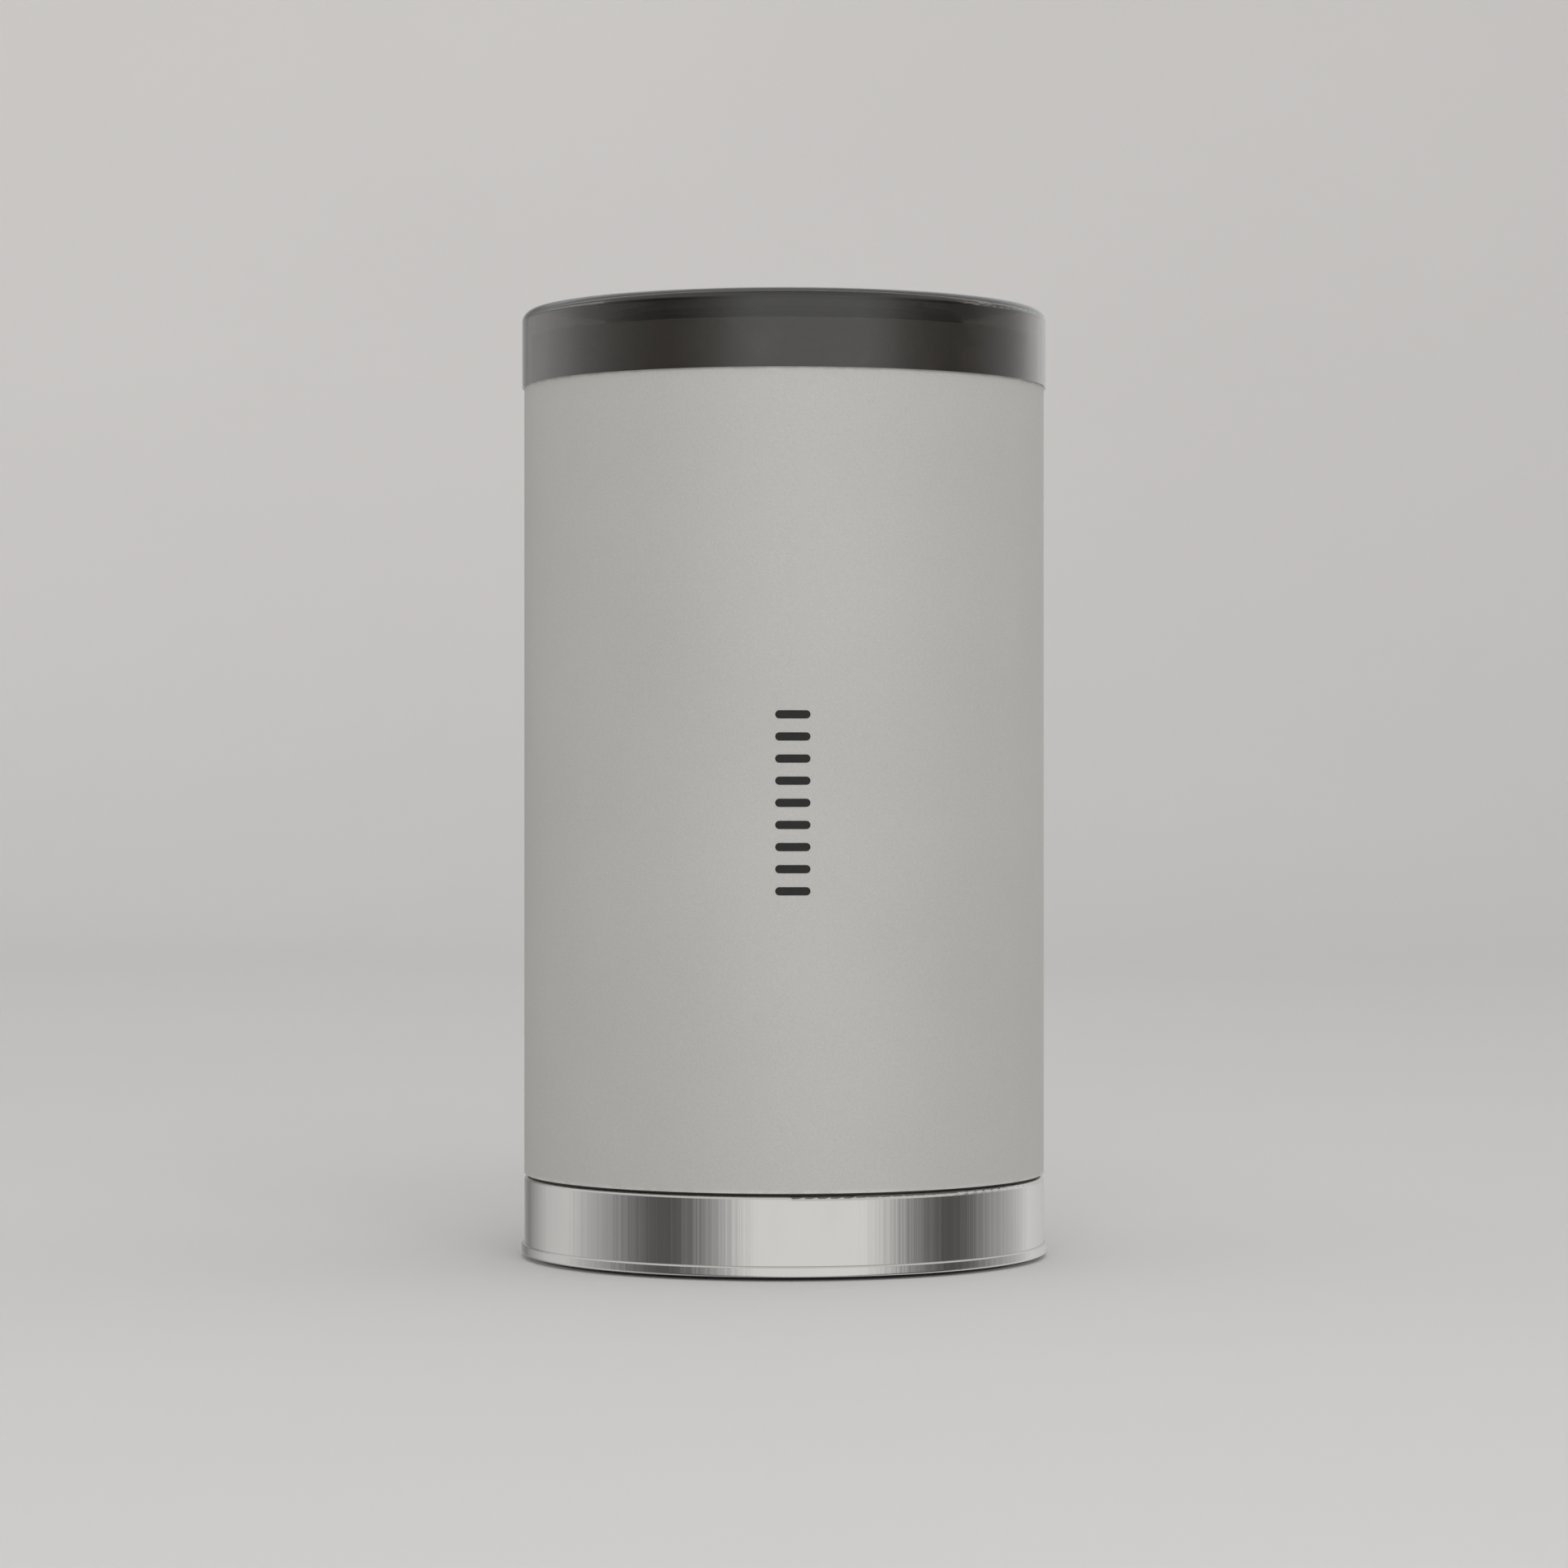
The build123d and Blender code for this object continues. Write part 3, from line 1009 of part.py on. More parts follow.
def panel_z():
    """The mid height of the picture panel, in the second holder's rebate."""
    return holder_z(2) - PANEL_THICK / 2


def flat_sheet(level, thick):
    """A ribbed lens sheet or the picture panel, flush with the top of its holder."""
    top = holder_z(level + 1)
    return block(-SHEET_X / 2, SHEET_X / 2, -SHEET_Y / 2, SHEET_Y / 2, top - thick, top)


def sheet_holder(level, thick):
    """A black holder with a rebate for its sheet and its corners cut for the box's bosses."""
    z0, z1 = holder_z(level), holder_z(level + 1)
    half_x, half_y = BOX_X / 2 - HOUSING_WALL - FIT, BOX_Y / 2 - HOUSING_WALL - FIT
    holder = block(-half_x, half_x, -half_y, half_y, z0, z1)
    room = BOX_BOSS_R + 2 * FIT
    for x, y in BOX_CORNERS:
        out_x, out_y = math.copysign(BOX_BOSS_INSET + room, x), math.copysign(BOX_BOSS_INSET + room, y)
        corner = Box(abs(out_x), abs(out_y), BIG)
        corner_x = x + (out_x - math.copysign(2 * room, x)) / 2
        corner_y = y + (out_y - math.copysign(2 * room, y)) / 2
        holder -= Pos(corner_x, corner_y, z0) * corner
    rebate_x, rebate_y = SHEET_X / 2 + FIT, SHEET_Y / 2 + FIT
    holder -= block(-rebate_x, rebate_x, -rebate_y, rebate_y, z1 - thick, z1 + 1)
    lit_x, lit_y = SHEET_X / 2 - SHEET_LAP, SHEET_Y / 2 - SHEET_LAP
    return holder - block(-lit_x, lit_x, -lit_y, lit_y, z0 - 1, z1 + 1)


def panel_holder():
    """The picture panel's holder, with a way out for its flat cable."""
    slot_half = PANEL_RIBBON_HALF + RIBBON_SLOT_GAP
    slot = block(-slot_half, slot_half, -BOX_Y, -SHEET_Y / 2 + 1, panel_z() - RIBBON_GAP, holder_z(2) + 1)
    return sheet_holder(1, PANEL_THICK) - slot


def lens_tube():
    """The fixed tube that guides the barrel, with the gear's seat and the wheel's arm."""
    part = pad_z(BOX_X, BOX_Y, BOX_CORNER, BOX_Z1, LENS_PLATE_Z1)
    part += disc(LENS_TUBE_R, BOX_Z1, SEAT_Z)
    part += disc(GEAR_SEAT_R, SEAT_Z - GEAR_SEAT, SEAT_Z)
    half = AXLE_ARM_WIDTH / 2
    arm = block(-half, half, BARREL_R, WHEEL_CIRCLE, AXLE_ARM_Z0, AXLE_ARM_Z1)
    arm += disc(half, AXLE_ARM_Z0, AXLE_ARM_Z1, 0, WHEEL_CIRCLE)
    arm -= disc(AXLE_R + SCREW_FIT, 0, HEIGHT, 0, WHEEL_CIRCLE)
    part += turned(arm, WHEEL_AZIMUTH)
    part -= disc(LENS_TUBE_IN, BOX_Z1 - 1, SEAT_Z + 1)
    for x, y in BOX_CORNERS:
        part -= shank_hole(BOARD_SCREW, 0, HEIGHT, x, y)
    return part


# The moving lens
def lens_barrel():
    """The barrel: a wide bore for the front lens, a narrower one below its inner lip."""
    lip_z1 = BARREL_LIP_Z0 + BARREL_LIP_THICK
    barrel = disc(BARREL_R, BARREL_Z0, BARREL_Z1)
    barrel = chamfer(barrel.edges().group_by(Axis.Z)[-1], BARREL_CHAMFER)
    barrel -= disc(REAR_LENS_R + FIT, BARREL_Z0 - 1, BARREL_LIP_Z0)
    barrel -= disc(REAR_LENS_R - BARREL_LIP, BARREL_LIP_Z0 - 1, lip_z1 + 1)
    barrel -= disc(FRONT_LENS_R - BARREL_LIP, lip_z1, FRONT_LENS_Z0 + 1)
    return barrel - disc(FRONT_LENS_R + FIT, FRONT_LENS_Z0, BARREL_Z1 + 1)


def front_lens():
    """The large front glass."""
    return round_lens(FRONT_LENS_R, FRONT_LENS_Z0, FRONT_LENS_Z0 + FRONT_LENS_EDGE, 0, FRONT_LENS_DOME)


def front_lens_ring():
    """The stepped black ring that holds the front glass down."""
    z0 = FRONT_LENS_Z0 + FRONT_LENS_EDGE
    inner = FRONT_LENS_R - LENS_RING_WIDTH
    ring = tube(FRONT_LENS_R, inner, z0, BARREL_Z1 - LENS_RING_SINK)
    for n in range(1, LENS_RING_STEPS + 1):
        ring -= disc(inner + LENS_RING_STEP * n, z0 + LENS_RING_THICK * n, BARREL_Z1)
    return ring


def middle_lens():
    """The hollow-ground middle glass, against the barrel's lip."""
    return round_lens(REAR_LENS_R, MIDDLE_LENS_Z0, BARREL_LIP_Z0, -MIDDLE_LENS_HOLLOW, -MIDDLE_LENS_HOLLOW)


def rear_lens():
    """The domed rear glass."""
    return round_lens(REAR_LENS_R, REAR_LENS_Z0, SPACER_Z0, 0, REAR_LENS_DOME)


def lens_spacer():
    """The ring between the rear and middle glass."""
    return tube(REAR_LENS_R, REAR_LENS_R - LENS_RING_WIDTH, SPACER_Z0, MIDDLE_LENS_Z0)


def rear_lens_ring():
    """The ring that holds the rear glass in."""
    return tube(REAR_LENS_R, REAR_LENS_R - LENS_RING_WIDTH, BARREL_Z0, REAR_LENS_Z0)


# Focus drive
def focus_ring_gear():
    """The toothed ring on the barrel's thread, which moves the lens as it turns."""
    gear = extrude(Pos(0, 0, GEAR_Z0) * gear_face(RING_TEETH), amount=GEAR_THICK)
    gear -= disc(BARREL_R + RUNNING_FIT, GEAR_Z0 - 1, GEAR_Z1 + 1)
    return Rot(0, 0, 90 - WHEEL_AZIMUTH) * gear


def focus_wheel():
    """The ribbed thumb wheel, with its small gear on top."""
    wheel = disc(WHEEL_R, WHEEL_Z0, WHEEL_Z1)
    wheel = chamfer(wheel.edges().filter_by(GeomType.CIRCLE), WHEEL_CHAMFER)
    wheel -= [disc(WHEEL_GRIP_R, WHEEL_Z0 - 1, WHEEL_Z1 + 1, *place(360 * n / WHEEL_GRIPS, WHEEL_R))
              for n in range(WHEEL_GRIPS)]
    gear = extrude(Pos(0, 0, WHEEL_Z1 - TINY) * gear_face(WHEEL_TEETH), amount=GEAR_Z1 - WHEEL_Z1 - FIT)
    gap_towards_ring = 270 - WHEEL_AZIMUTH + 180 / WHEEL_TEETH
    wheel += Rot(0, 0, gap_towards_ring) * gear
    wheel -= disc(AXLE_R + RUNNING_FIT, WHEEL_Z0 - 1, GEAR_Z1 + 1)
    x, y = place(WHEEL_AZIMUTH, WHEEL_CIRCLE)
    return Pos(x, y, 0) * wheel


def focus_wheel_axle():
    """The steel pin that the wheel turns on, held by the arm below and the frame above."""
    return disc(AXLE_R, AXLE_ARM_Z0, FRONT_Z1 - AXLE_COVER, *place(WHEEL_AZIMUTH, WHEEL_CIRCLE))


# Buttons
def button(radius, z):
    """A round key: its face follows the body, and its flange is held behind the wall."""
    flange_r = radius + BUTTON_FLANGE
    flange_y1 = math.sqrt(BODY_IN**2 - flange_r**2) - BUTTON_REST_GAP
    flange_y0 = flange_y1 - BUTTON_FLANGE_THICK
    key = rod_y(radius, flange_y1 - TINY, BIG, 0, z) & disc(BODY_R + BUTTON_PROUD, 0, HEIGHT)
    key = fillet(key.faces().sort_by(Axis.Y)[-1].edges(), BUTTON_ROUND)
    key += rod_y(flange_r, flange_y0, flange_y1, 0, z)
    key += rod_y(SWITCH_STEM_R, SWITCH_FACE_Y + SWITCH_GAP, flange_y0 + TINY, 0, z)
    return turned(key, BUTTON_AZIMUTH)


def button_board():
    """The key board on the front frame's tab, with one switch behind each key."""
    half = KEY_BOARD_WIDTH / 2
    board = block(-half, half, KEY_BOARD_Y0, KEY_BOARD_Y1, KEY_BOARD_Z0, KEY_BOARD_Z1)
    side = SWITCH_SIDE / 2
    for _, z in KEY_PLACES:
        board += block(-side, side, KEY_BOARD_Y1, SWITCH_FACE_Y, z - side, z + side)
        board -= rod_y(SWITCH_STEM_R + SWITCH_WELL, SWITCH_FACE_Y - BUTTON_TRAVEL - FIT, BIG, 0, z)
    return turned(board, BUTTON_AZIMUTH)


# Boards and sockets
def main_board():
    """The board over the sockets, hung from the deck's posts, with its chips."""
    board = disc(MAIN_BOARD_R, MAIN_BOARD_Z0, MAIN_BOARD_Z1)
    board -= block(-BIG, BIG, MAIN_BOARD_EDGE_Y, BIG, 0, HEIGHT)
    for x, y in main_board_post_places():
        board -= shank_hole(BOARD_SCREW, 0, HEIGHT, x, y)
    for azimuth in COVER_SCREW_AZIMUTHS:
        board -= disc(COVER_POST_R + 1, 0, HEIGHT, *place(azimuth, COVER_SCREW_CIRCLE))
    x0, x1 = LINK_RIBBON_X
    length, height = LINK_CONNECTOR
    y0 = LINK_RIBBON_Y + RIBBON_THICK / 2
    connector = block(x0, x1, y0, y0 + length, MAIN_BOARD_Z1, MAIN_BOARD_Z1 + height)
    chips = [block(*chip[:4], MAIN_BOARD_Z1, MAIN_BOARD_Z1 + chip[4]) for chip in MAIN_CHIPS]
    return [board, connector, *chips]


def framed_socket(place_and_size, make):
    """A metal-framed socket that faces down, with a contact tongue in its mouth."""
    x, width, depth, corner = place_and_size
    wall, tongue_width, tongue_thick, tongue_y = make
    shell = pad_z(width, depth, corner, SOCKET_Z0, MAIN_BOARD_Z0, x, SOCKET_Y)
    floor_z = MAIN_BOARD_Z0 - SOCKET_FLOOR
    shell -= pad_z(width - 2 * wall, depth - 2 * wall, corner / 2, 0, floor_z, x, SOCKET_Y)
    x0, y0 = x - tongue_width / 2, SOCKET_Y + tongue_y - tongue_thick / 2
    return shell + block(x0, x0 + tongue_width, y0, y0 + tongue_thick, SOCKET_Z0 + SOCKET_TONGUE_SHY,
                         MAIN_BOARD_Z0 - TINY)


def round_socket(place_and_size, make):
    """A round socket that faces down, with its square body on the board."""
    x, nose_r = place_and_size
    bore_r, pin_r, side = make
    part = disc(nose_r, SOCKET_Z0, COVER_Z1 + TINY, x, SOCKET_Y)
    part += pad_z(side, side, SOCKET_CORNER, COVER_Z1, MAIN_BOARD_Z0, x, SOCKET_Y)
    part -= disc(bore_r, 0, MAIN_BOARD_Z0 - SOCKET_FLOOR / 2, x, SOCKET_Y)
    if pin_r:
        part += disc(pin_r, SOCKET_Z0 + SOCKET_TONGUE_SHY, MAIN_BOARD_Z0 - TINY, x, SOCKET_Y)
    return part


def driver_post_places():
    """The x and z of the driver board's posts on the optics housing."""
    return [(x, BOX_Z0 + lift) for lift in DRIVER_POST_LIFTS for x in (-DRIVER_POST_X, DRIVER_POST_X)]


def driver_board():
    """The picture driver board on the housing's front, with its chips and connector."""
    back, z = DRIVER_BOARD_Y0, DRIVER_BOARD_Z0
    board = block(-DRIVER_BOARD_X, DRIVER_BOARD_X, back, DRIVER_BOARD_Y1, z, DRIVER_BOARD_Z1)
    for post_x, post_z in driver_post_places():
        board -= rod_y(BOARD_SCREW[2] + SCREW_FIT, -BIG, 0, post_x, post_z)
    x0, x1 = LINK_RIBBON_X
    length, height = LINK_CONNECTOR
    low = z + LINK_CONNECTOR_LIFT
    connector = block(x0 - 1, x1 + 1, back - height, back, low, low + length)
    chips = [block(x_low, x_high, back - rise, back, z + z_low, z + z_high)
             for x_low, x_high, z_low, z_high, rise in DRIVER_CHIPS]
    return [board, connector, *chips]


def ribbon(points, x0, x1):
    """A flat cable of one thickness along (y, z) points, from x0 to x1."""
    line = Polyline(*[(y, z) for y, z in points])
    face = Plane.YZ * make_face(trace(line, RIBBON_THICK).faces()[0].outer_wire())
    return Pos(x0, 0, 0) * extrude(face, amount=x1 - x0)


def ribbon_cables():
    """The panel's short cable to the driver board, and the link down to the main board."""
    behind = DRIVER_BOARD_Y1 + RIBBON_THICK / 2
    panel = ribbon([(-SHEET_Y / 2, panel_z()), (behind, panel_z()), (behind, panel_z() - PANEL_RIBBON_DROP)],
                   -PANEL_RIBBON_HALF, PANEL_RIBBON_HALF)
    top = DRIVER_BOARD_Z0 + LINK_CONNECTOR_LIFT
    out = DRIVER_BOARD_Y0 - LINK_CONNECTOR[1] / 2
    bend = top - LINK_RIBBON_STEP
    link = ribbon([(out, top), (out, bend), (LINK_RIBBON_Y, bend - LINK_RIBBON_STEP),
                   (LINK_RIBBON_Y, MAIN_BOARD_Z1)], *LINK_RIBBON_X)
    return [panel, link]


def sensor_board():
    """The ring board under the smoked cap, with its infrared receiver."""
    top = FRONT_Z1 + SENSOR_BOARD_THICK
    board = tube(SENSOR_BOARD_R, SEAT_COLLAR_R + FIT, FRONT_Z1, top)
    width, depth, height = SENSOR_SIZE
    x, y = place(180, SENSOR_R)
    receiver = block(x - width / 2, x + width / 2, y, y + depth, top, top + height)
    return [board, receiver + rod_y(SENSOR_EYE_R, y - SENSOR_EYE_R / 2, y + 1, x, top + height / 2)]


# Speaker
def speaker_frame():
    """The steel basket, its flange on the cover."""
    flange_z1 = COVER_Z1 + SPEAKER_FLANGE
    top = COVER_Z1 + SPEAKER_DEPTH
    inner = SPEAKER_R - SPEAKER_FLANGE_WIDTH
    basket = revolved([
        (SPEAKER_R, COVER_Z1),
        (SPEAKER_R, flange_z1),
        (inner + SPEAKER_SHEET, flange_z1),
        (SPEAKER_MAGNET_R, top),
        (SPEAKER_NECK_R, top),
        (SPEAKER_NECK_R, top - SPEAKER_SHEET),
        (SPEAKER_MAGNET_R - SPEAKER_SHEET / 2, top - SPEAKER_SHEET),
        (inner, flange_z1 - SPEAKER_SHEET),
        (inner, COVER_Z1),
    ])
    return Pos(0, SPEAKER_Y, 0) * basket


def speaker_cone():
    """The paper cone and its dust cap, hung in the basket's mouth."""
    rim = SPEAKER_R - SPEAKER_FLANGE_WIDTH - 3 * FIT
    z = COVER_Z1 + 2 * FIT
    cone = revolved([
        (rim, z),
        (rim, z + CONE_PAPER),
        (DUST_CAP_R, z + CONE_DEPTH + CONE_PAPER),
        (0, z + CONE_DEPTH + CONE_PAPER),
        (0, z + CONE_DEPTH),
        (DUST_CAP_R, z + CONE_DEPTH),
        (rim - 2 * CONE_PAPER, z),
    ])
    return Pos(0, SPEAKER_Y, 0) * cone


def speaker_magnet():
    """The magnet on the back of the basket."""
    z0 = COVER_Z1 + SPEAKER_DEPTH
    return disc(SPEAKER_MAGNET_R, z0, z0 + SPEAKER_MAGNET, 0, SPEAKER_Y)


# Fasteners, one node for each kind of place
def cover_screws():
    """The screws that hold the rear cover."""
    z = COVER_Z0 + CASE_SCREW[1]
    return [screw(CASE_SCREW, CASE_SCREW_LENGTH, *place(azimuth, COVER_SCREW_CIRCLE), z, upward=True)
            for azimuth in COVER_SCREW_AZIMUTHS]


def case_screws():
    """The screws that hold the two frames in the sleeve."""
    low = [screw(CASE_SCREW, CASE_SCREW_LENGTH, *place(azimuth, CASE_BOSS_CIRCLE), DECK_Z0, upward=True)
           for azimuth in CASE_BOSS_AZIMUTHS]
    return low + [screw(CASE_SCREW, FRONT_SCREW_LENGTH, *place(azimuth, FRONT_SCREW_CIRCLE), FRONT_Z1)
                  for azimuth in FRONT_SCREW_AZIMUTHS]


def board_screws():
    """The small screws of the boards, the sink, the optics housing and the lens tube."""
    made = [screw(BOARD_SCREW, BOARD_SCREW_LENGTH, x, y, MAIN_BOARD_Z0, upward=True)
            for x, y in main_board_post_places()]
    made += [turned(screw(BOARD_SCREW, BOARD_SCREW_LENGTH, x, y, DECK_Z0, upward=True), VENT_AZIMUTH)
             for x, y in sink_screw_places()]
    made += [turned(screw(BOARD_SCREW, LAMP_SCREW_LENGTH, x, y, LAMP_Z1), VENT_AZIMUTH)
             for x, y in lamp_screw_places()]
    made += [screw(BOARD_SCREW, BOARD_SCREW_LENGTH, x, y, SINK_Z1 + HOUSING_FLANGE)
             for x, y in housing_screw_places()]
    made += [screw(BOARD_SCREW, TUBE_SCREW_LENGTH, x, y, LENS_PLATE_Z1) for x, y in BOX_CORNERS]
    facing_front = Rot(90, 0, 0) * screw(BOARD_SCREW, DRIVER_SCREW_LENGTH, 0, 0, 0)
    made += [Pos(x, DRIVER_BOARD_Y0, z) * facing_front for x, z in driver_post_places()]
    return made


def fan_screws():
    """The four long screws through the fan's corners."""
    facing_out = Rot(-90, 0, 0) * screw(BOARD_SCREW, FAN_DEPTH + FAN_SCREW_BITE, 0, 0, 0)
    return [turned(Pos(x, FAN_FACE_Y + FAN_DEPTH, z) * facing_out, VENT_AZIMUTH)
            for x, z in fan_screw_places()]


def pieces():
    """Every piece of the projector by its node's name."""
    made = {
        "body_sleeve": body_sleeve(),
        "smoked_cap": smoked_cap(),
        "base_ring": base_ring(),
        "rear_cover": rear_cover(),
        "foot_ring": foot_ring(),
        "rear_frame": rear_frame(),
        "front_frame": front_frame(),
        "lens_bezel": lens_bezel(),
        "side_feet": side_feet(),
        "stand_leaf": stand_leaf(),
        "stand_foot_pad": stand_foot_pad(),
        "stand_tray": stand_tray(),
        "stand_hinge_pin": stand_hinge_pin(),
        "tripod_nut": tripod_nut(),
        "heat_sink": heat_sink(),
        "lamp_board": lamp_board(),
        "lamp_chip": lamp_chip(),
        "fan_shroud": fan_shroud(),
        "fan_frame": fan_frame(),
        "fan_rotor": fan_rotor(),
        "fan_shaft": fan_shaft(),
        "optics_housing": optics_housing(),
        "condenser_lens": condenser_lens(),
        "collimator_sheet": flat_sheet(0, SHEET_THICK),
        "collimator_holder": sheet_holder(0, SHEET_THICK),
        "picture_panel": flat_sheet(1, PANEL_THICK),
        "panel_holder": panel_holder(),
        "field_lens_sheet": flat_sheet(2, SHEET_THICK),
        "field_lens_holder": sheet_holder(2, SHEET_THICK),
        "lens_tube": lens_tube(),
        "lens_barrel": lens_barrel(),
        "front_lens": front_lens(),
        "front_lens_ring": front_lens_ring(),
        "middle_lens": middle_lens(),
        "lens_spacer": lens_spacer(),
        "rear_lens": rear_lens(),
        "rear_lens_ring": rear_lens_ring(),
        "focus_ring_gear": focus_ring_gear(),
        "focus_wheel": focus_wheel(),
        "focus_wheel_axle": focus_wheel_axle(),
        "button_board": button_board(),
        "main_board": main_board(),
        "hdmi_socket": framed_socket(HDMI_PLACE, HDMI_MAKE),
        "usb_socket": framed_socket(USB_PLACE, USB_MAKE),
        "power_socket": round_socket(POWER_PLACE, POWER_MAKE),
        "audio_socket": round_socket(AUDIO_PLACE, AUDIO_MAKE),
        "driver_board": driver_board(),
        "ribbon_cables": ribbon_cables(),
        "sensor_board": sensor_board(),
        "speaker_frame": speaker_frame(),
        "speaker_cone": speaker_cone(),
        "speaker_magnet": speaker_magnet(),
        "cover_screws": cover_screws(),
        "case_screws": case_screws(),
        "board_screws": board_screws(),
        "fan_screws": fan_screws(),
    }
    keys = ("power_button", "volume_up_button", "volume_down_button")
    for name, (radius, z) in zip(keys, KEY_PLACES):
        made[name] = button(radius, z)
    return made


def solids_of(shape):
    """The solids of a shape, or of each shape in a list."""
    if isinstance(shape, list):
        return [solid for item in shape for solid in solids_of(item)]
    return list(shape.solids())


os.makedirs("parts", exist_ok=True)
for node, shape in pieces().items():
    export_step(Compound(children=solids_of(shape)), f"parts/{node}.step")
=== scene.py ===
import math

import bpy
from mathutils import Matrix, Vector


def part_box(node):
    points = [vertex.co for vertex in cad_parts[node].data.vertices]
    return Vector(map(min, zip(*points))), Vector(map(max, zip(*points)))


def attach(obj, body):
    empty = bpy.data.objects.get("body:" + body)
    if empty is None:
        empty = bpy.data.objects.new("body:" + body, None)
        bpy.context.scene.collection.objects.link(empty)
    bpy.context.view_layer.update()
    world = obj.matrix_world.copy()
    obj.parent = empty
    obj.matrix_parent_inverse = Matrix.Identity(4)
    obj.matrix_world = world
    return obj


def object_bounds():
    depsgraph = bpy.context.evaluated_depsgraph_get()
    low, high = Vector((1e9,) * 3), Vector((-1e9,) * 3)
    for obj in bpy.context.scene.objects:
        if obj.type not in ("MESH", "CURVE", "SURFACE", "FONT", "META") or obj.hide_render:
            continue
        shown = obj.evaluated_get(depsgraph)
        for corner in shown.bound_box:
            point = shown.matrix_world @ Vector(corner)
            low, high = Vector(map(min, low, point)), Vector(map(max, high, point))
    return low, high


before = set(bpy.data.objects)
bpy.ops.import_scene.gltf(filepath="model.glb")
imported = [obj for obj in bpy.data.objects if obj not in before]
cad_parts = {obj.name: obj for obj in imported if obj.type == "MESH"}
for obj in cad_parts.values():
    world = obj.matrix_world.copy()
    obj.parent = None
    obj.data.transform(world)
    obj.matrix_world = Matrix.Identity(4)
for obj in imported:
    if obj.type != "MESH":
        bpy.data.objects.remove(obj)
cad_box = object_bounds()


# Studio: a pale seamless floor that curves up into a wall all round, a large soft lamp above the
# camera, and a sky of pale cards with dark gaps between them, which polished things show. Matt
# things get more of its light, and most of it from the right. A card is known by its azimuth,
# from the camera round to the right in degrees, and by how bright it is.
MM = 0.001
FLOOR_FLAT, FLOOR_CURVE, FLOOR_TOP, FLOOR_HUB = 1.5, 0.9, 1.2, 0.1 * MM
FLOOR_SEGMENTS, FLOOR_CURVE_STEPS = 96, 12
FLOOR_DARK, FLOOR_PALE = (0.62, 0.605, 0.595, 1), (0.65, 0.635, 0.625, 1)
CAMERA_BACK, CAMERA_LENS = 0.90, 108
LAMP_PLACE, LAMP_SIDE, LAMP_WATTS = (0.2, -1.5, 1.25), 1.3, 11.5
SKY_CARDS = (
    (-180, 0.45), (-155, 0.22), (-127, 0.65), (-110, 0.73), (-95, 0.54), (-82, 0.38), (-71, 0.23),
    (-60, 0.13), (-50, 0.11), (-40, 0.22), (-30, 0.41), (-21, 0.69), (-12, 0.89), (34, 0.91),
    (44, 0.72), (54, 0.40), (64, 0.21), (76, 0.10), (88, 0.15), (101, 0.35), (117, 0.51),
    (137, 0.79), (180, 0.45))
CARD_TOPS = (0.30, 0.55)
OVERHEAD_GLOSSY, OVERHEAD_MATT = 0.70, 0.30
SKY_FILL, SKY_EAST = 1.7, 0.85


class Value:
    """A number, vector or colour that a node gives out. Arithmetic on it adds Math nodes."""

    def __init__(self, nodes, socket):
        self.nodes = nodes
        self.socket = socket

    def math(self, operation, *others):
        return self.nodes.add("ShaderNodeMath", {"operation": operation}, (self, *others))

    def __add__(self, other):
        return self.math("ADD", other)

    def __sub__(self, other):
        return self.math("SUBTRACT", other)

    def __rsub__(self, other):
        return self.nodes.add("ShaderNodeMath", {"operation": "SUBTRACT"}, (other, self))

    def __mul__(self, other):
        return self.math("MULTIPLY", other)

    def __truediv__(self, other):
        return self.math("DIVIDE", other)

    def __mod__(self, other):
        return self.math("FLOORED_MODULO", other)

    def __pow__(self, other):
        return self.math("POWER", other)

    def __lt__(self, other):
        return self.math("LESS_THAN", other)

    def __gt__(self, other):
        return self.math("GREATER_THAN", other)

    __radd__ = __add__
    __rmul__ = __mul__


class Nodes:
    """A node tree, and the one way in which nodes are added to it."""

    def __init__(self, tree):
        self.tree = tree

    def add(self, kind, settings=None, inputs=(), out=0):
        """Adds a node: its settings first, then its sockets' values or links."""
        node = self.tree.nodes.new(kind)
        for name, value in (settings or {}).items():
            if name == "stops":
                self.set_stops(node.color_ramp, value)
            else:
                setattr(node, name, value)
        pairs = inputs.items() if isinstance(inputs, dict) else enumerate(inputs)
        for key, value in pairs:
            self.feed(node.inputs[key], value)
        return Value(self, node.outputs[out])

    def feed(self, socket, value):
        if isinstance(value, Value):
            self.tree.links.new(value.socket, socket)
        else:
            socket.default_value = value

    def set_stops(self, ramp, stops):
        while len(ramp.elements) < len(stops):
            ramp.elements.new(1.0)
        for element, (position, shade) in zip(ramp.elements, stops):
            element.position = position
            element.color = shade if isinstance(shade, tuple) else (shade, shade, shade, 1)

    def parts(self, vector):
        """The x, y and z of a vector."""
        split = self.add("ShaderNodeSeparateXYZ", None, {"Vector": vector})
        return [Value(self, split.socket.node.outputs[axis]) for axis in range(3)]

    def mix(self, factor, start, end):
        """A colour between two."""
        return self.add("ShaderNodeMix", {"data_type": "RGBA"}, {0: factor, 6: start, 7: end}, out=2)

    def step(self, value, start, end, low=0.0, high=1.0):
        """Goes smoothly from low to high as the value goes from start to end."""
        return self.add("ShaderNodeMapRange", {"interpolation_type": "SMOOTHSTEP"},
                        (value, start, end, low, high))


def made(name, points, faces, smooth=False):
    """A new object from points and faces."""
    mesh = bpy.data.meshes.new(name)
    mesh.from_pydata(points, [], faces)
    if smooth:
        mesh.shade_smooth()
    piece = bpy.data.objects.new(name, mesh)
    bpy.context.scene.collection.objects.link(piece)
    return piece


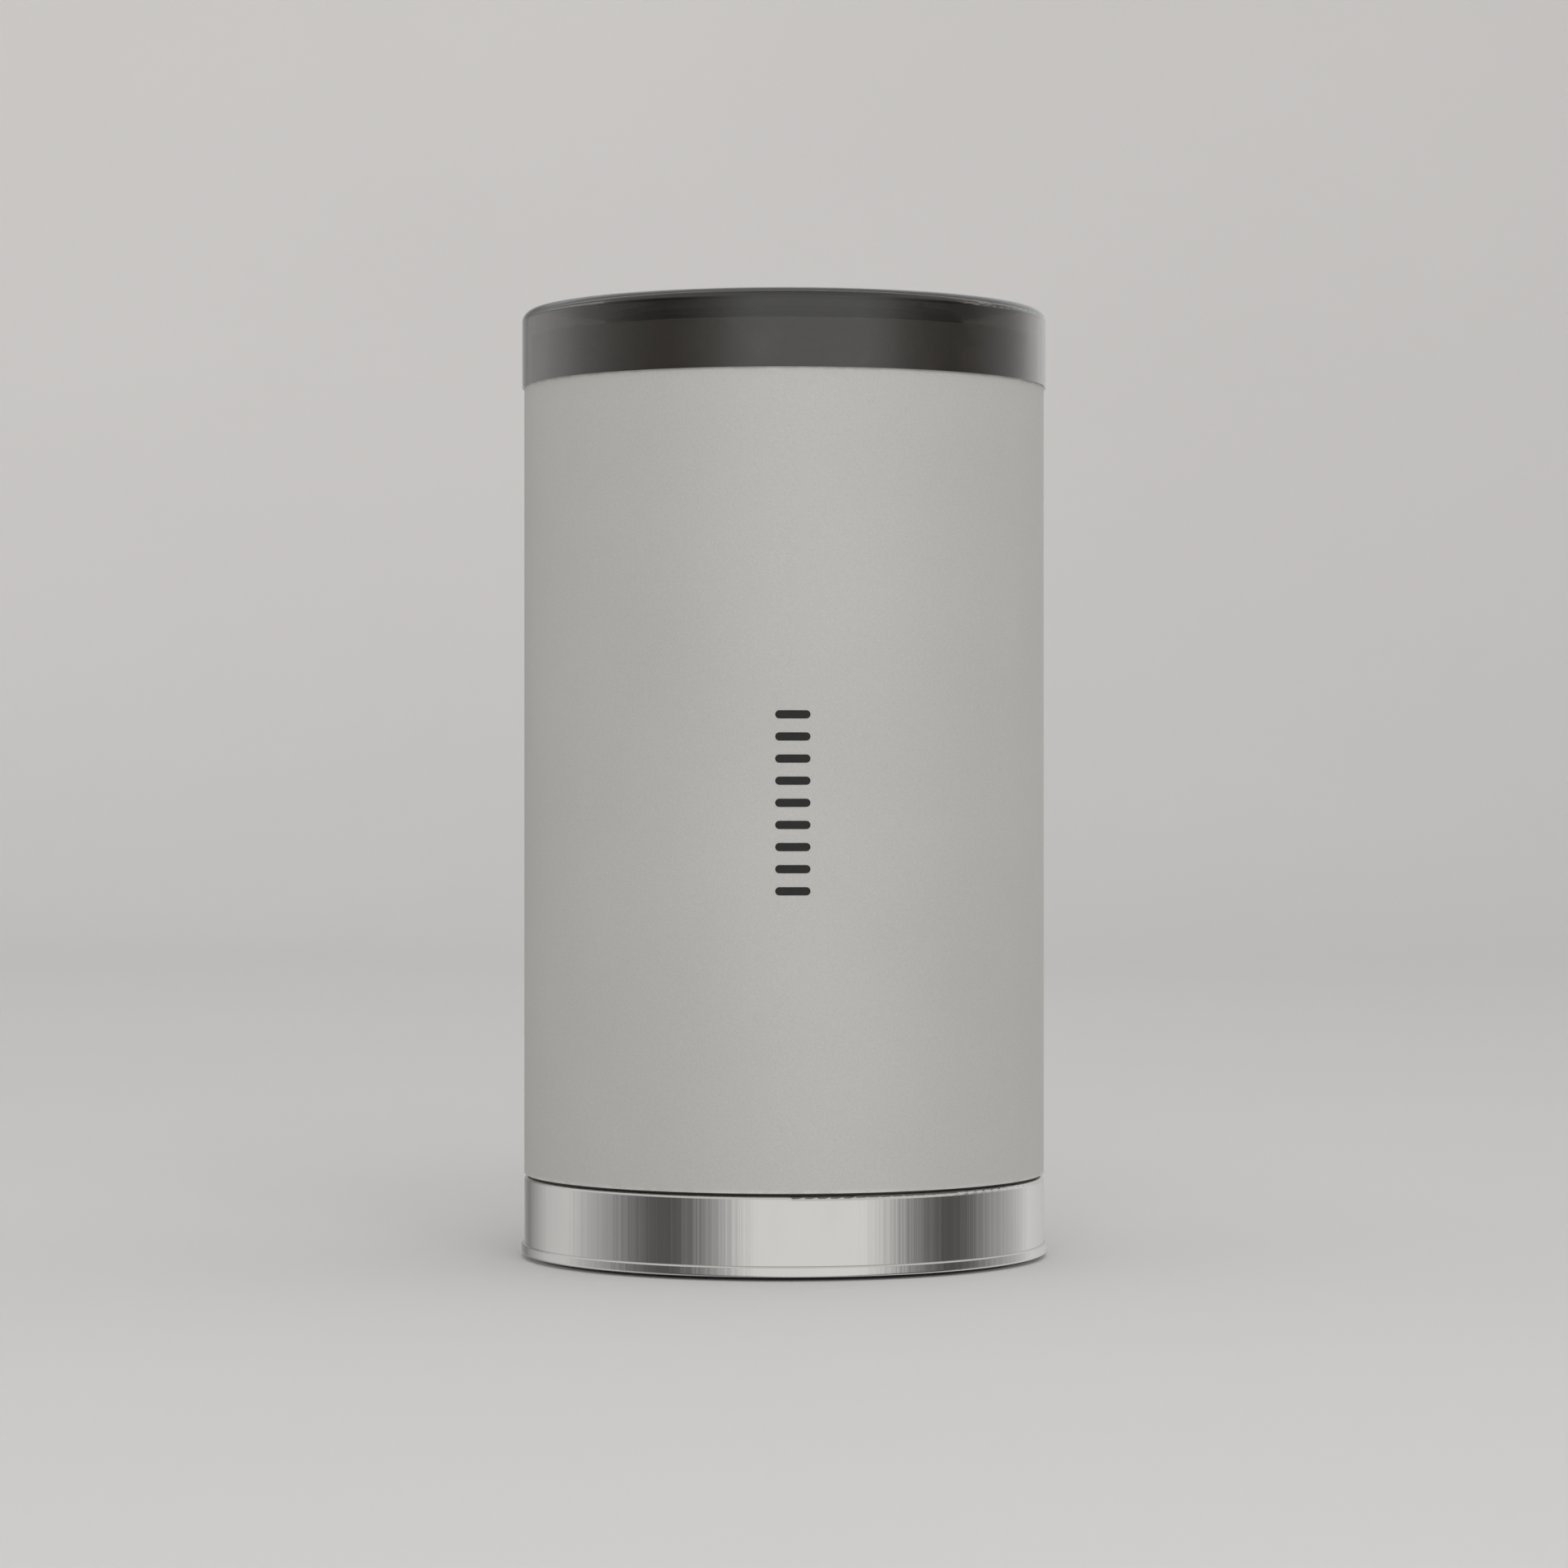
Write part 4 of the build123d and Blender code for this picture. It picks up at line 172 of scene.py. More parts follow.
def lathe(name, profile, segments):
    """A mesh turned about the axis from (radius, z) points."""
    points, faces = [], []
    for radius, z in profile:
        for n in range(segments):
            angle = 2 * math.pi * n / segments
            points.append((radius * math.cos(angle), radius * math.sin(angle), z))
    for row in range(len(profile) - 1):
        for n in range(segments):
            a, b = row * segments + n, row * segments + (n + 1) % segments
            faces.append((a, b, b + segments, a + segments))
    return made(name, points, faces, smooth=True)


scene = bpy.context.scene
scene.view_settings.view_transform = "Standard"
world = bpy.data.worlds.new("studio_sky")
world.use_nodes = True
scene.world = world
sky = Nodes(world.node_tree)
east, north, up = sky.parts(sky.add("ShaderNodeTexCoord"))
azimuth = east.math("ARCTAN2", 0 - north) / (2 * math.pi) + 0.5
stops = [(degrees / 360 + 0.5, shade) for degrees, shade in SKY_CARDS]
cards = sky.add("ShaderNodeValToRGB", {"stops": stops}, (azimuth,))
background = world.node_tree.nodes["Background"]
lights_matt = Value(sky, sky.add("ShaderNodeLightPath").socket.node.outputs["Is Diffuse Ray"])
overhead = OVERHEAD_GLOSSY - lights_matt * (OVERHEAD_GLOSSY - OVERHEAD_MATT)
sky.feed(background.inputs["Color"], sky.mix(sky.step(up, *CARD_TOPS), cards, overhead))
sky.feed(background.inputs["Strength"], lights_matt * (east * SKY_EAST + SKY_FILL) + 1)

floor_profile = [(FLOOR_HUB, 0), (FLOOR_FLAT / 2, 0)]
for n in range(FLOOR_CURVE_STEPS + 1):
    bend = math.pi / 2 * n / FLOOR_CURVE_STEPS
    floor_profile.append(
        (FLOOR_FLAT + FLOOR_CURVE * math.sin(bend), FLOOR_CURVE * (1 - math.cos(bend))))
floor_profile.append((FLOOR_FLAT + FLOOR_CURVE, FLOOR_TOP))
floor = lathe("floor", floor_profile, FLOOR_SEGMENTS)
floor_paint = bpy.data.materials.new("floor_paint")
floor_paint.use_nodes = True
floor_nodes = Nodes(floor_paint.node_tree)
floor_shader = floor_paint.node_tree.nodes["Principled BSDF"]
floor_grain = floor_nodes.add("ShaderNodeTexNoise", None, {
    "Vector": floor_nodes.add("ShaderNodeTexCoord", out="Object"), "Scale": 3.0, "Detail": 3.0})
floor_nodes.feed(
    floor_shader.inputs["Base Color"], floor_nodes.mix(floor_grain, FLOOR_DARK, FLOOR_PALE))
floor_shader.inputs["Roughness"].default_value = 0.9
floor.data.materials.append(floor_paint)
floor.visible_glossy = False

lamp_data = bpy.data.lights.new("soft_lamp", "AREA")
lamp_data.size = LAMP_SIDE
lamp_data.energy = LAMP_WATTS
lamp = bpy.data.objects.new("soft_lamp", lamp_data)
scene.collection.objects.link(lamp)
lamp.visible_glossy = False

middle = (cad_box[0] + cad_box[1]) / 2
camera_data = bpy.data.cameras.new("camera")
camera_data.lens = CAMERA_LENS
camera = bpy.data.objects.new("camera", camera_data)
camera.location = (0, -CAMERA_BACK, middle.z)
camera.rotation_euler = (math.radians(90), 0, 0)
scene.collection.objects.link(camera)
scene.camera = camera
lamp.location = LAMP_PLACE
lamp.rotation_euler = (middle - lamp.location).to_track_quat("-Z", "Y").to_euler()


# Rear frame: the black inner frame that everything is built up on. Glass-filled plastic with a fine
# spark-eroded grain, a little paler where hands and tools have rubbed it. Its rib is the dark seam.
class Finish(Nodes):
    """A material: its shader, and the surface's own x, y and z to work its colour and grain from."""

    def __init__(self, name, uniform=()):
        self.material = bpy.data.materials.new(name)
        self.material.use_nodes = True
        super().__init__(self.material.node_tree)
        self.shader = self.tree.nodes["Principled BSDF"]
        for socket, value in dict(uniform).items():
            self.shader.inputs[socket].default_value = value
        self.place = self.add("ShaderNodeTexCoord", out="Object")
        self.x, self.y, self.z = self.parts(self.place)

    def noise(self, scale, detail, stretch=(1, 1, 1)):
        """Noise with a scale per metre. A stretch under 1 draws it out along that axis."""
        where = self.add("ShaderNodeVectorMath", {"operation": "MULTIPLY"}, (self.place, stretch))
        return self.add("ShaderNodeTexNoise", None,
                        {"Vector": where, "Scale": scale, "Detail": detail})

    def radius(self):
        """The distance from the projector's axis."""
        return (self.x ** 2 + self.y ** 2).math("SQRT")

    def paint(self, socket, value):
        self.feed(self.shader.inputs[socket], value)

    def bump(self, height, depth):
        raised = self.add("ShaderNodeBump", None, {"Height": height, "Distance": depth})
        self.paint("Normal", raised)

    def on(self, *nodes):
        for name in nodes:
            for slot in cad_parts[name].material_slots:
                slot.material = self.material


def srgb(red, green, blue):
    """A colour from its screen values, each over 10 and up to 255."""
    return tuple(((level / 255 + 0.055) / 1.055) ** 2.4 for level in (red, green, blue)) + (1,)


RUBBED_PALER = 1.7


def moulding(name, tone, roughness, grain=1500, depth=0.03):
    """A moulded plastic of its own tone, roughness and grain, paler where it is rubbed. The grain is
    per metre, and its depth is in millimetres."""
    plastic = Finish(name, {"Specular IOR Level": 0.45})
    rub = plastic.step(plastic.noise(110, 4), 0.5, 0.8)
    pale = tuple(channel * RUBBED_PALER for channel in tone[:3]) + (1,)
    plastic.paint("Base Color", plastic.mix(rub * 0.5 + plastic.noise(grain, 1) * 0.4, tone, pale))
    plastic.paint("Roughness", roughness - rub * 0.12 + plastic.noise(grain / 2, 2) * 0.1)
    plastic.bump(plastic.noise(grain, 3), depth * MM)
    return plastic


moulding("frame_black", srgb(44, 43, 41), 0.55).on("rear_frame", "stand_tray")


# Base ring: stainless steel, turned, then polished to a mirror and clamped under the frame. What is
# left of the turning are hairlines round it, crossed by faint upright streaks from the polishing.
STREAKS_PER_RADIAN, HAIRLINES_PER_METRE = 40, 9000


def line_noise(finish, along, scale, detail):
    """Noise that follows one value alone, so that it draws lines."""
    return finish.add("ShaderNodeTexNoise", {"noise_dimensions": "1D"},
                      {"W": along, "Scale": scale, "Detail": detail})


ring = Finish("mirror_ring", {"Metallic": 1.0})
around = (0 - ring.x).math("ARCTAN2", 0 - ring.y)
streak = line_noise(ring, around, STREAKS_PER_RADIAN, 4)
hairline = line_noise(ring, ring.z, HAIRLINES_PER_METRE, 2)
ring.paint("Base Color", ring.mix(ring.noise(90, 3), srgb(207, 205, 202), srgb(218, 216, 213)))
ring.paint("Roughness", 0.055 + ring.step(ring.noise(160, 4), 0.5, 0.8) * 0.07 + hairline * 0.03)
ring.bump(streak + hairline * 0.05, 0.03 * MM)
ring.on("base_ring")


# Rear cover: a black moulded disc screwed to the frame, with a coarse leather-like grain that hides
# the scratches of being set down.
PEBBLES_PER_METRE = 950
cover = Finish("cover_black", {"Specular IOR Level": 0.45})
cell = cover.add("ShaderNodeTexVoronoi", {"feature": "SMOOTH_F1"},
                 {"Vector": cover.place, "Scale": PEBBLES_PER_METRE})
scratch = cover.step(cover.noise(38, 5, (1, 14, 1)), 0.62, 0.72)
cover.paint("Base Color", cover.mix(cell * 0.5 + scratch * 0.35, srgb(30, 30, 30), srgb(58, 57, 55)))
cover.paint("Roughness", 0.5 + cell * 0.2 - scratch * 0.1)
cover.bump(cell, 0.05 * MM)
cover.on("rear_cover")


# Rubber: the ring that the projector stands on, two pads low on its back and the strip on the
# stand. Black silicone from a blasted mould, glued in grooves. It holds dust.
rubber = Finish("black_rubber",
                {"Specular IOR Level": 0.3, "Sheen Weight": 0.15, "Sheen Roughness": 0.5})
dust = rubber.step(rubber.noise(420, 5), 0.5, 0.75)
rubber.paint("Base Color", rubber.mix(dust * 0.6, srgb(27, 27, 27), srgb(66, 65, 62)))
rubber.paint("Roughness", 0.78 + dust * 0.15)
rubber.bump(rubber.noise(2600, 2), 0.03 * MM)
rubber.on("foot_ring", "side_feet", "stand_foot_pad")


# Heat sink and lamp board: an aluminium extrusion, sawn off and left bright, and the thin plate
# that carries the lamp's chip, screwed to it. Die lines run along the fins.
metal = Finish("bright_aluminium", {"Metallic": 1.0})
die_line = metal.noise(900, 4, (1, 1, 0.02))
dulling = die_line * 0.5 + metal.noise(45, 4) * 0.5
metal.paint("Base Color", metal.mix(dulling, srgb(158, 159, 162), srgb(214, 215, 217)))
metal.paint("Roughness", 0.32 + die_line * 0.25)
metal.bump(die_line, 0.02 * MM)
metal.on("heat_sink", "lamp_board")


# Lamp chip: a square of yellow phosphor in clear resin over rows of small light sources, in a pale
# rim, soldered to its board.
DIE_PITCH, DIE_R_SQUARED, CHIP_RIM_SHARE = 1.5 * MM, 0.06, 0.66


def between(value, pitch):
    """How far a value is from one line of a grid to the next, from 0 to 1."""
    return (value / pitch) % 1.0


chip = Finish("phosphor_chip", {"Coat Roughness": 0.1})
from_middle = [between(way, DIE_PITCH) - 0.5 for way in (chip.x, chip.y)]
dots = from_middle[0] ** 2 + from_middle[1] ** 2 < DIE_R_SQUARED
rim = chip.radius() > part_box("lamp_chip")[1].x * CHIP_RIM_SHARE
phosphor = chip.mix(dots, srgb(226, 196, 66), srgb(196, 150, 40))
chip.paint("Base Color", chip.mix(rim, phosphor, srgb(236, 235, 228)))
chip.paint("Coat Weight", 1 - rim)
chip.paint("Roughness", 0.35 + chip.noise(800, 2) * 0.2)
chip.bump(dots + chip.noise(900, 2) * 0.3, 0.05 * MM)
chip.on("lamp_chip")


# Fan: its frame and duct are black mouldings screwed to the sink, and its rotor has a glossier
# skin, with flow lines from the hub. It turns on a ground steel shaft.
moulding("duct_black", srgb(36, 36, 36), 0.6, 900).on("fan_shroud")
moulding("fan_black", srgb(34, 34, 35), 0.42, 700, 0.02).on("fan_frame")
rotor = Finish("rotor_black")
flow = rotor.noise(140, 3, (1, 1, 5))
rotor.paint("Base Color", rotor.mix(flow, srgb(28, 28, 29), srgb(50, 50, 52)))
rotor.paint("Roughness", 0.3 + flow * 0.2)
rotor.bump(rotor.noise(1200, 2), 0.01 * MM)
rotor.on("fan_rotor")


def steel(name, dark, pale, roughness, stretch=(1, 1, 1)):
    """A bright or plated steel, drawn out in lines along the stretched axis, with duller spots."""
    metal = Finish(name, {"Metallic": 1.0})
    drawn = metal.noise(1400, 3, stretch)
    spot = metal.step(metal.noise(500, 3), 0.55, 0.8)
    metal.paint("Base Color", metal.mix(drawn * 0.7 + spot * 0.3, dark, pale))
    metal.paint("Roughness", roughness + drawn * 0.15 + spot * 0.1)
    metal.bump(drawn, 0.012 * MM)
    return metal


steel("ground_steel", srgb(150, 150, 152), srgb(205, 205, 207), 0.2, (1, 1, 0.1)).on(
    "fan_shaft", "focus_wheel_axle", "stand_hinge_pin")


# Optics housing, its three holders and the lens tube: black mouldings that stack up on the sink,
# matt inside so that they throw back no stray light.
moulding("housing_black", srgb(36, 36, 36), 0.62, 1100).on("optics_housing", "lens_tube")
moulding("holder_black", srgb(30, 30, 30), 0.72).on(
    "collimator_holder", "panel_holder", "field_lens_holder")


# Glass: the condenser in the housing and the three lenses of the barrel. Polished, with a coating
# that throws back a faint violet or green, and the odd smear.
def glass(name, tint, coating):
    """Optical glass with a coating that colours what it reflects."""
    lens = Finish(name, {"Transmission Weight": 1.0, "IOR": 1.62, "Specular Tint": coating})
    smear = lens.step(lens.noise(120, 4), 0.55, 0.8)
    lens.paint("Base Color", lens.mix(lens.noise(60, 2), tint, srgb(252, 252, 252)))
    lens.paint("Roughness", smear * 0.03)
    lens.bump(lens.noise(200, 1), 0.001 * MM)
    return lens


glass("violet_coated_glass", srgb(240, 242, 250), srgb(206, 176, 255)).on(
    "front_lens", "rear_lens")
glass("green_coated_glass", srgb(240, 250, 244), srgb(176, 240, 206)).on(
    "middle_lens", "condenser_lens")


# Lens sheets: thin acrylic pressed with fine round ribs, dropped into their holders. The lower one
# makes the lamp's light parallel and the upper one gathers it again.
RIB_PITCH = 0.5 * MM
sheet = Finish("ribbed_sheet", {"Transmission Weight": 1.0, "IOR": 1.49})
rib = between(sheet.radius(), RIB_PITCH)
sheet.paint("Base Color", sheet.mix(sheet.noise(50, 2), srgb(228, 236, 238), srgb(244, 248, 248)))
sheet.paint("Roughness", 0.06 + rib * 0.08)
sheet.bump(rib, 0.06 * MM)
sheet.on("collimator_sheet", "field_lens_sheet")


# Picture panel: two glasses with liquid crystal between them, dark and glossy, with a grid of fine
# points inside a black printed border.
PANEL_BORDER, POINT_PITCH, POINT_GAP = 3.0 * MM, 0.12 * MM, 0.25
panel_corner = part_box("picture_panel")[1]
panel = Finish("picture_panel_glass", {"Coat Roughness": 0.04})
margin_x = (panel_corner.x - PANEL_BORDER) - panel.x.math("ABSOLUTE")
margin_y = (panel_corner.y - PANEL_BORDER) - panel.y.math("ABSOLUTE")
lit = margin_x.math("MINIMUM", margin_y) > 0.0
grid = (between(panel.x, POINT_PITCH) > POINT_GAP) * (between(panel.y, POINT_PITCH) > POINT_GAP)
panel.paint("Base Color", panel.mix(lit * (0.3 + grid * 0.7), srgb(12, 12, 13), srgb(52, 44, 70)))
panel.paint("Roughness", 0.12 + panel.noise(300, 2) * 0.1)
panel.paint("Coat Weight", 0.6 + lit * 0.4)
panel.bump(lit * grid, 0.004 * MM)
panel.on("picture_panel")


# Lens barrel, its rings and spacer: aluminium, turned and black anodised, with the tool's fine
# marks round it. The rings screw in over the glass.
TOOL_PITCH = 0.35 * MM
anodised = Finish("black_anodised", {"Metallic": 0.6})
feed = anodised.z * (2 * math.pi / TOOL_PITCH) + anodised.noise(60, 2) * 2
tool_mark = feed.math("SINE") * 0.5 + 0.5
blotch = anodised.noise(800, 2)
worn = tool_mark * 0.4 + blotch * 0.3
anodised.paint("Base Color", anodised.mix(worn, srgb(26, 26, 28), srgb(58, 58, 61)))
anodised.paint("Roughness", 0.36 + blotch * 0.14)
anodised.bump(tool_mark, 0.012 * MM)
anodised.on("lens_barrel", "front_lens_ring", "lens_spacer", "rear_lens_ring")


# Focus gears: the ring on the barrel's thread is natural acetal, waxy and off-white, and the thumb
# wheel is black with a finely ribbed rim, on its steel axle.
acetal = Finish("natural_acetal", {"Subsurface Weight": 0.1})
cloud = acetal.noise(260, 3)
acetal.paint("Base Color", acetal.mix(cloud, srgb(214, 211, 198), srgb(232, 230, 220)))
acetal.paint("Roughness", 0.4 + acetal.noise(700, 2) * 0.15)
acetal.bump(acetal.noise(1800, 2), 0.008 * MM)
acetal.on("focus_ring_gear")
moulding("wheel_black", srgb(34, 34, 34), 0.46, 1100, 0.02).on("focus_wheel")


# Circuit boards: glass fibre under green lacquer, with copper tracks and tinned pads, and black
# packages soldered on. They are screwed to posts on the frame and on the housing.
TRACK_PITCH, TRACK_HALF, BLOCK, PAD_R = 0.8 * MM, 0.16, 4.0 * MM, 0.45 * MM
EMPTY_BLOCKS, BLOCKS_WITHOUT_PAD = 0.2, 0.55
MAIN_BOARD_THICK, SMALL_BOARD_THICK = 1.6 * MM, 1.2 * MM
FACE_MARGIN = 0.02 * MM


def board(node, across, along, above):
    """A board's finish. Across and along lie in its face, and above is the height over that face.
    Each is a function of the finish, which knows x, y and z."""
    lacquer = Finish(node + "_lacquer", {"Coat Roughness": 0.25})
    u, v, rise = across(lacquer), along(lacquer), above(lacquer)
    block = lacquer.add("ShaderNodeCombineXYZ", None,
                        ((u / BLOCK).math("FLOOR"), (v / BLOCK).math("FLOOR"), 0.0))
    dice = lacquer.add("ShaderNodeTexWhiteNoise", {"noise_dimensions": "2D"}, {"Vector": block})
    lines = [(between(way, TRACK_PITCH) - 0.5).math("ABSOLUTE") < TRACK_HALF for way in (u, v)]
    upright = dice > 0.5
    track = (lines[0] * upright + lines[1] * (1 - upright)) * (dice > EMPTY_BLOCKS)
    centre = (between(u, BLOCK) - 0.5) ** 2 + (between(v, BLOCK) - 0.5) ** 2
    pad = (centre < (PAD_R / BLOCK) ** 2) * (dice > BLOCKS_WITHOUT_PAD)
    package = rise > FACE_MARGIN
    green = lacquer.mix(track, srgb(14, 74, 42), srgb(28, 104, 60))
    bare = lacquer.mix(pad, green, srgb(196, 196, 190))
    black = lacquer.mix(lacquer.noise(900, 2), srgb(26, 26, 27), srgb(44, 44, 45))
    lacquer.paint("Base Color", lacquer.mix(package, bare, black))
    lacquer.paint("Coat Weight", (1 - package) * 0.4)
    lacquer.paint("Roughness", 0.34 + package * 0.25 + lacquer.noise(700, 2) * 0.08)
    relief = (track * 0.5 + pad) * (1 - package) + package * lacquer.noise(1500, 2) * 0.3
    lacquer.bump(relief, 0.03 * MM)
    lacquer.on(node)


MAIN_BOARD_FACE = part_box("main_board")[0].z + MAIN_BOARD_THICK
DRIVER_BOARD_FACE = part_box("driver_board")[1].y - MAIN_BOARD_THICK
SENSOR_BOARD_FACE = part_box("sensor_board")[0].z + SMALL_BOARD_THICK
board("main_board", lambda at: at.x, lambda at: at.y, lambda at: at.z - MAIN_BOARD_FACE)
board("driver_board", lambda at: at.x, lambda at: at.z, lambda at: DRIVER_BOARD_FACE - at.y)
board("sensor_board", lambda at: at.x, lambda at: at.y, lambda at: at.z - SENSOR_BOARD_FACE)


# Key board: a narrow board upright behind the keys, screwed to the front frame's tab, with a small
# switch soldered behind each key.
KEY_AZIMUTH = -60
out_x, out_y = math.sin(math.radians(KEY_AZIMUTH)), math.cos(math.radians(KEY_AZIMUTH))
KEY_BOARD_FACE = 40.2 * MM
board("button_board", lambda at: at.x * out_y - at.y * out_x, lambda at: at.z,
      lambda at: at.x * out_x + at.y * out_y - KEY_BOARD_FACE)


# Flat cables: strips of clear amber film with copper lines in it, from the panel to its board and
# down to the main board.
LINE_PITCH, LINE_GAP = 0.5 * MM, 0.45
film = Finish("amber_film", {"Coat Weight": 0.5, "Coat Roughness": 0.15})
copper = between(film.x, LINE_PITCH) > LINE_GAP
copper_tone = copper * 0.9 + film.noise(300, 2) * 0.1
film.paint("Base Color", film.mix(copper_tone, srgb(150, 84, 22), srgb(206, 138, 74)))
film.paint("Roughness", 0.3 + film.noise(500, 2) * 0.1)
film.bump(copper, 0.02 * MM)
film.on("ribbon_cables")


# Speaker: a paper cone in a stamped steel basket, with its magnet behind. It is glued in the rear
# frame, over the cover's holes.
steel("stamped_steel", srgb(140, 140, 142), srgb(190, 190, 192), 0.34, (0.1, 1, 1)).on(
    "speaker_frame")
paper = Finish("cone_paper", {"Specular IOR Level": 0.25})
fibre = paper.noise(1100, 5, (1, 0.3, 1))
paper.paint("Base Color", paper.mix(fibre, srgb(34, 33, 32), srgb(74, 72, 69)))
paper.paint("Roughness", 0.8 + fibre * 0.15)
paper.bump(fibre, 0.04 * MM)
paper.on("speaker_cone")


# Sockets: the two framed ones are folded steel shells round a black tongue with gold contacts,
# and the round ones are glossy black mouldings. All four are soldered to the main board. A tongue
# is known by its middle, its half sizes and the pitch of its contacts.
HDMI_TONGUE = -8.0 * MM, -20.6 * MM, 5.65 * MM, 0.7 * MM, 0.6 * MM
USB_TONGUE = 10.5 * MM, -19.6 * MM, 5.55 * MM, 0.95 * MM, 2.5 * MM
CONTACT_GAP, CONTACT_BACK = 0.45, 1.4 * MM


def framed_socket(node, tongue_place):
    """A steel shell round a tongue with contacts."""
    x, y, half_x, half_y, pitch = tongue_place
    contact_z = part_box(node)[0].z + CONTACT_BACK
    shell = Finish(node + "_finish")
    drawn = shell.noise(1400, 3, (1, 1, 0.2))
    tongue = ((shell.x - x).math("ABSOLUTE") < half_x) * ((shell.y - y).math("ABSOLUTE") < half_y)
    contact = tongue * (between(shell.x, pitch) > CONTACT_GAP) * (shell.z > contact_z)
    folded = shell.mix(drawn, srgb(168, 168, 170), srgb(212, 212, 214))
    black = shell.mix(drawn, srgb(18, 18, 19), srgb(34, 34, 35))
    gold = shell.mix(drawn, srgb(196, 158, 84), srgb(232, 200, 128))
    shell.paint("Base Color", shell.mix(contact, shell.mix(tongue, folded, black), gold))
    shell.paint("Metallic", 1 - tongue + contact)
    shell.paint("Roughness", 0.22 + drawn * 0.15 + (tongue - contact) * 0.15)
    shell.bump(drawn * 0.3 + contact, 0.02 * MM)
    shell.on(node)


framed_socket("hdmi_socket", HDMI_TONGUE)
framed_socket("usb_socket", USB_TONGUE)
gloss = Finish("gloss_black")
wipe = gloss.step(gloss.noise(160, 4, (1, 1, 4)), 0.5, 0.8)
gloss.paint("Base Color", gloss.mix(wipe, srgb(14, 14, 15), srgb(34, 34, 35)))
gloss.paint("Roughness", 0.14 + wipe * 0.16)
gloss.bump(gloss.noise(300, 2), 0.006 * MM)
gloss.on("power_socket", "audio_socket")


# Body sleeve and stand: one matt silver shell, and the curved leaf that lies flush in its back.
# Moulded plastic under paint with a fine flake in it, rubbed a little brighter along both ends.
FLAKE_SCALE, GRAIN_SCALE, CLOUD_SCALE = 3600, 1900, 26
SHELL_DARK, SHELL_PALE = srgb(184, 183, 180), srgb(214, 213, 209)
END_POLISH = 0.9 * MM
sleeve_low, sleeve_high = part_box("body_sleeve")
shell = Finish("silver_shell_paint", {"Metallic": 0.2, "Specular IOR Level": 0.35})
flake = shell.noise(FLAKE_SCALE, 1)
from_end = (shell.z - sleeve_low.z).math("MINIMUM", sleeve_high.z - shell.z)
near_end = shell.step(from_end, 0.0, END_POLISH, 1.0, 0.0)
polish = near_end * shell.step(shell.noise(320, 3), 0.35, 0.65)
shade = flake * 0.6 + shell.noise(CLOUD_SCALE, 3) * 0.3 + polish * 0.4
shell.paint("Base Color", shell.mix(shade, SHELL_DARK, SHELL_PALE))
shell.paint("Roughness", 0.60 - polish * 0.15 - (flake - 0.5) * 0.12)
shell.bump(flake * 0.35 + shell.noise(GRAIN_SCALE, 2) * 0.65, 0.02 * MM)
shell.on("body_sleeve", "stand_leaf")


# Scale on the front: nine short bars of dark ink, printed on the sleeve one above the other.
# Their ends are round, and they lie on the paint like any screen print.
BAR_COUNT, BAR_PITCH, BAR_LENGTH, BAR_WIDTH = 9, 4.0 * MM, 6.4 * MM, 1.5 * MM
SCALE_X, SCALE_MIDDLE_Z = 1.6 * MM, 86.6 * MM
FRONT_AZIMUTH = 180
INK_PROUD, INK_ROOT = 0.03 * MM, 0.05 * MM
ROUND_STEPS, STROKE_STEPS = 6, 12


def straight(start, end):
    """Points along a straight stroke, close enough to follow a round wall. A point is a complex
    number: how far to the right, and how far up."""
    return [start + (end - start) * n / STROKE_STEPS for n in range(STROKE_STEPS + 1)]


def ink(name, strokes, width, azimuth, radius, z):
    """Strokes wrapped on a round wall, with round ends. Each is a thin solid, sunk a little."""
    half = width / 2
    corners, faces = [], []
    turns = [math.pi / 2 * (n + 0.5) / ROUND_STEPS for n in range(ROUND_STEPS)]
    for way in strokes:
        first, last = way[1] - way[0], way[-1] - way[-2]
        first, last = first / abs(first), last / abs(last)
        rows = [(way[0] - first * half * math.cos(turn), first, half * math.sin(turn))
                for turn in turns]
        for n, point in enumerate(way):
            ahead = way[min(n + 1, len(way) - 1)] - way[max(n - 1, 0)]
            rows.append((point, ahead / abs(ahead), half))
        rows += [(way[-1] + last * half * math.cos(turn), last, half * math.sin(turn))
                 for turn in reversed(turns)]
        start = len(corners)
        for point, ahead, reach in rows:
            for side, proud in ((1, INK_PROUD), (-1, INK_PROUD), (-1, -INK_ROOT), (1, -INK_ROOT)):
                place = point + 1j * side * ahead * reach
                angle = math.radians(azimuth) - place.real / radius
                out = radius + proud
                corners.append((out * math.sin(angle), out * math.cos(angle), z + place.imag))
        for row in range(len(rows) - 1):
            for side in range(4):
                a, b = start + 4 * row + side, start + 4 * row + (side + 1) % 4
                faces.append((a, b, b + 4, a + 4))
        faces.append((start + 3, start + 2, start + 1, start))
        faces.append(tuple(len(corners) - 4 + side for side in range(4)))
    return made(name, corners, faces)


def inked(piece, finish, body):
    """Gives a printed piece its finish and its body."""
    piece.data.materials.append(finish.material)
    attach(piece, body)


reach = (BAR_LENGTH - BAR_WIDTH) / 2
levels = [(n - (BAR_COUNT - 1) / 2) * BAR_PITCH for n in range(BAR_COUNT)]
bars = [straight(SCALE_X - reach + 1j * level, SCALE_X + reach + 1j * level) for level in levels]
dark_ink = Finish("dark_ink")
speck = dark_ink.noise(2400, 3)
dark_ink.paint("Base Color", dark_ink.mix(speck, srgb(16, 16, 15), srgb(30, 29, 28)))
dark_ink.paint("Roughness", 0.5 + dark_ink.noise(900, 2) * 0.16)
scale = ink("front_scale", bars, BAR_WIDTH, FRONT_AZIMUTH, sleeve_high.x, SCALE_MIDDLE_Z)
inked(scale, dark_ink, "casing")


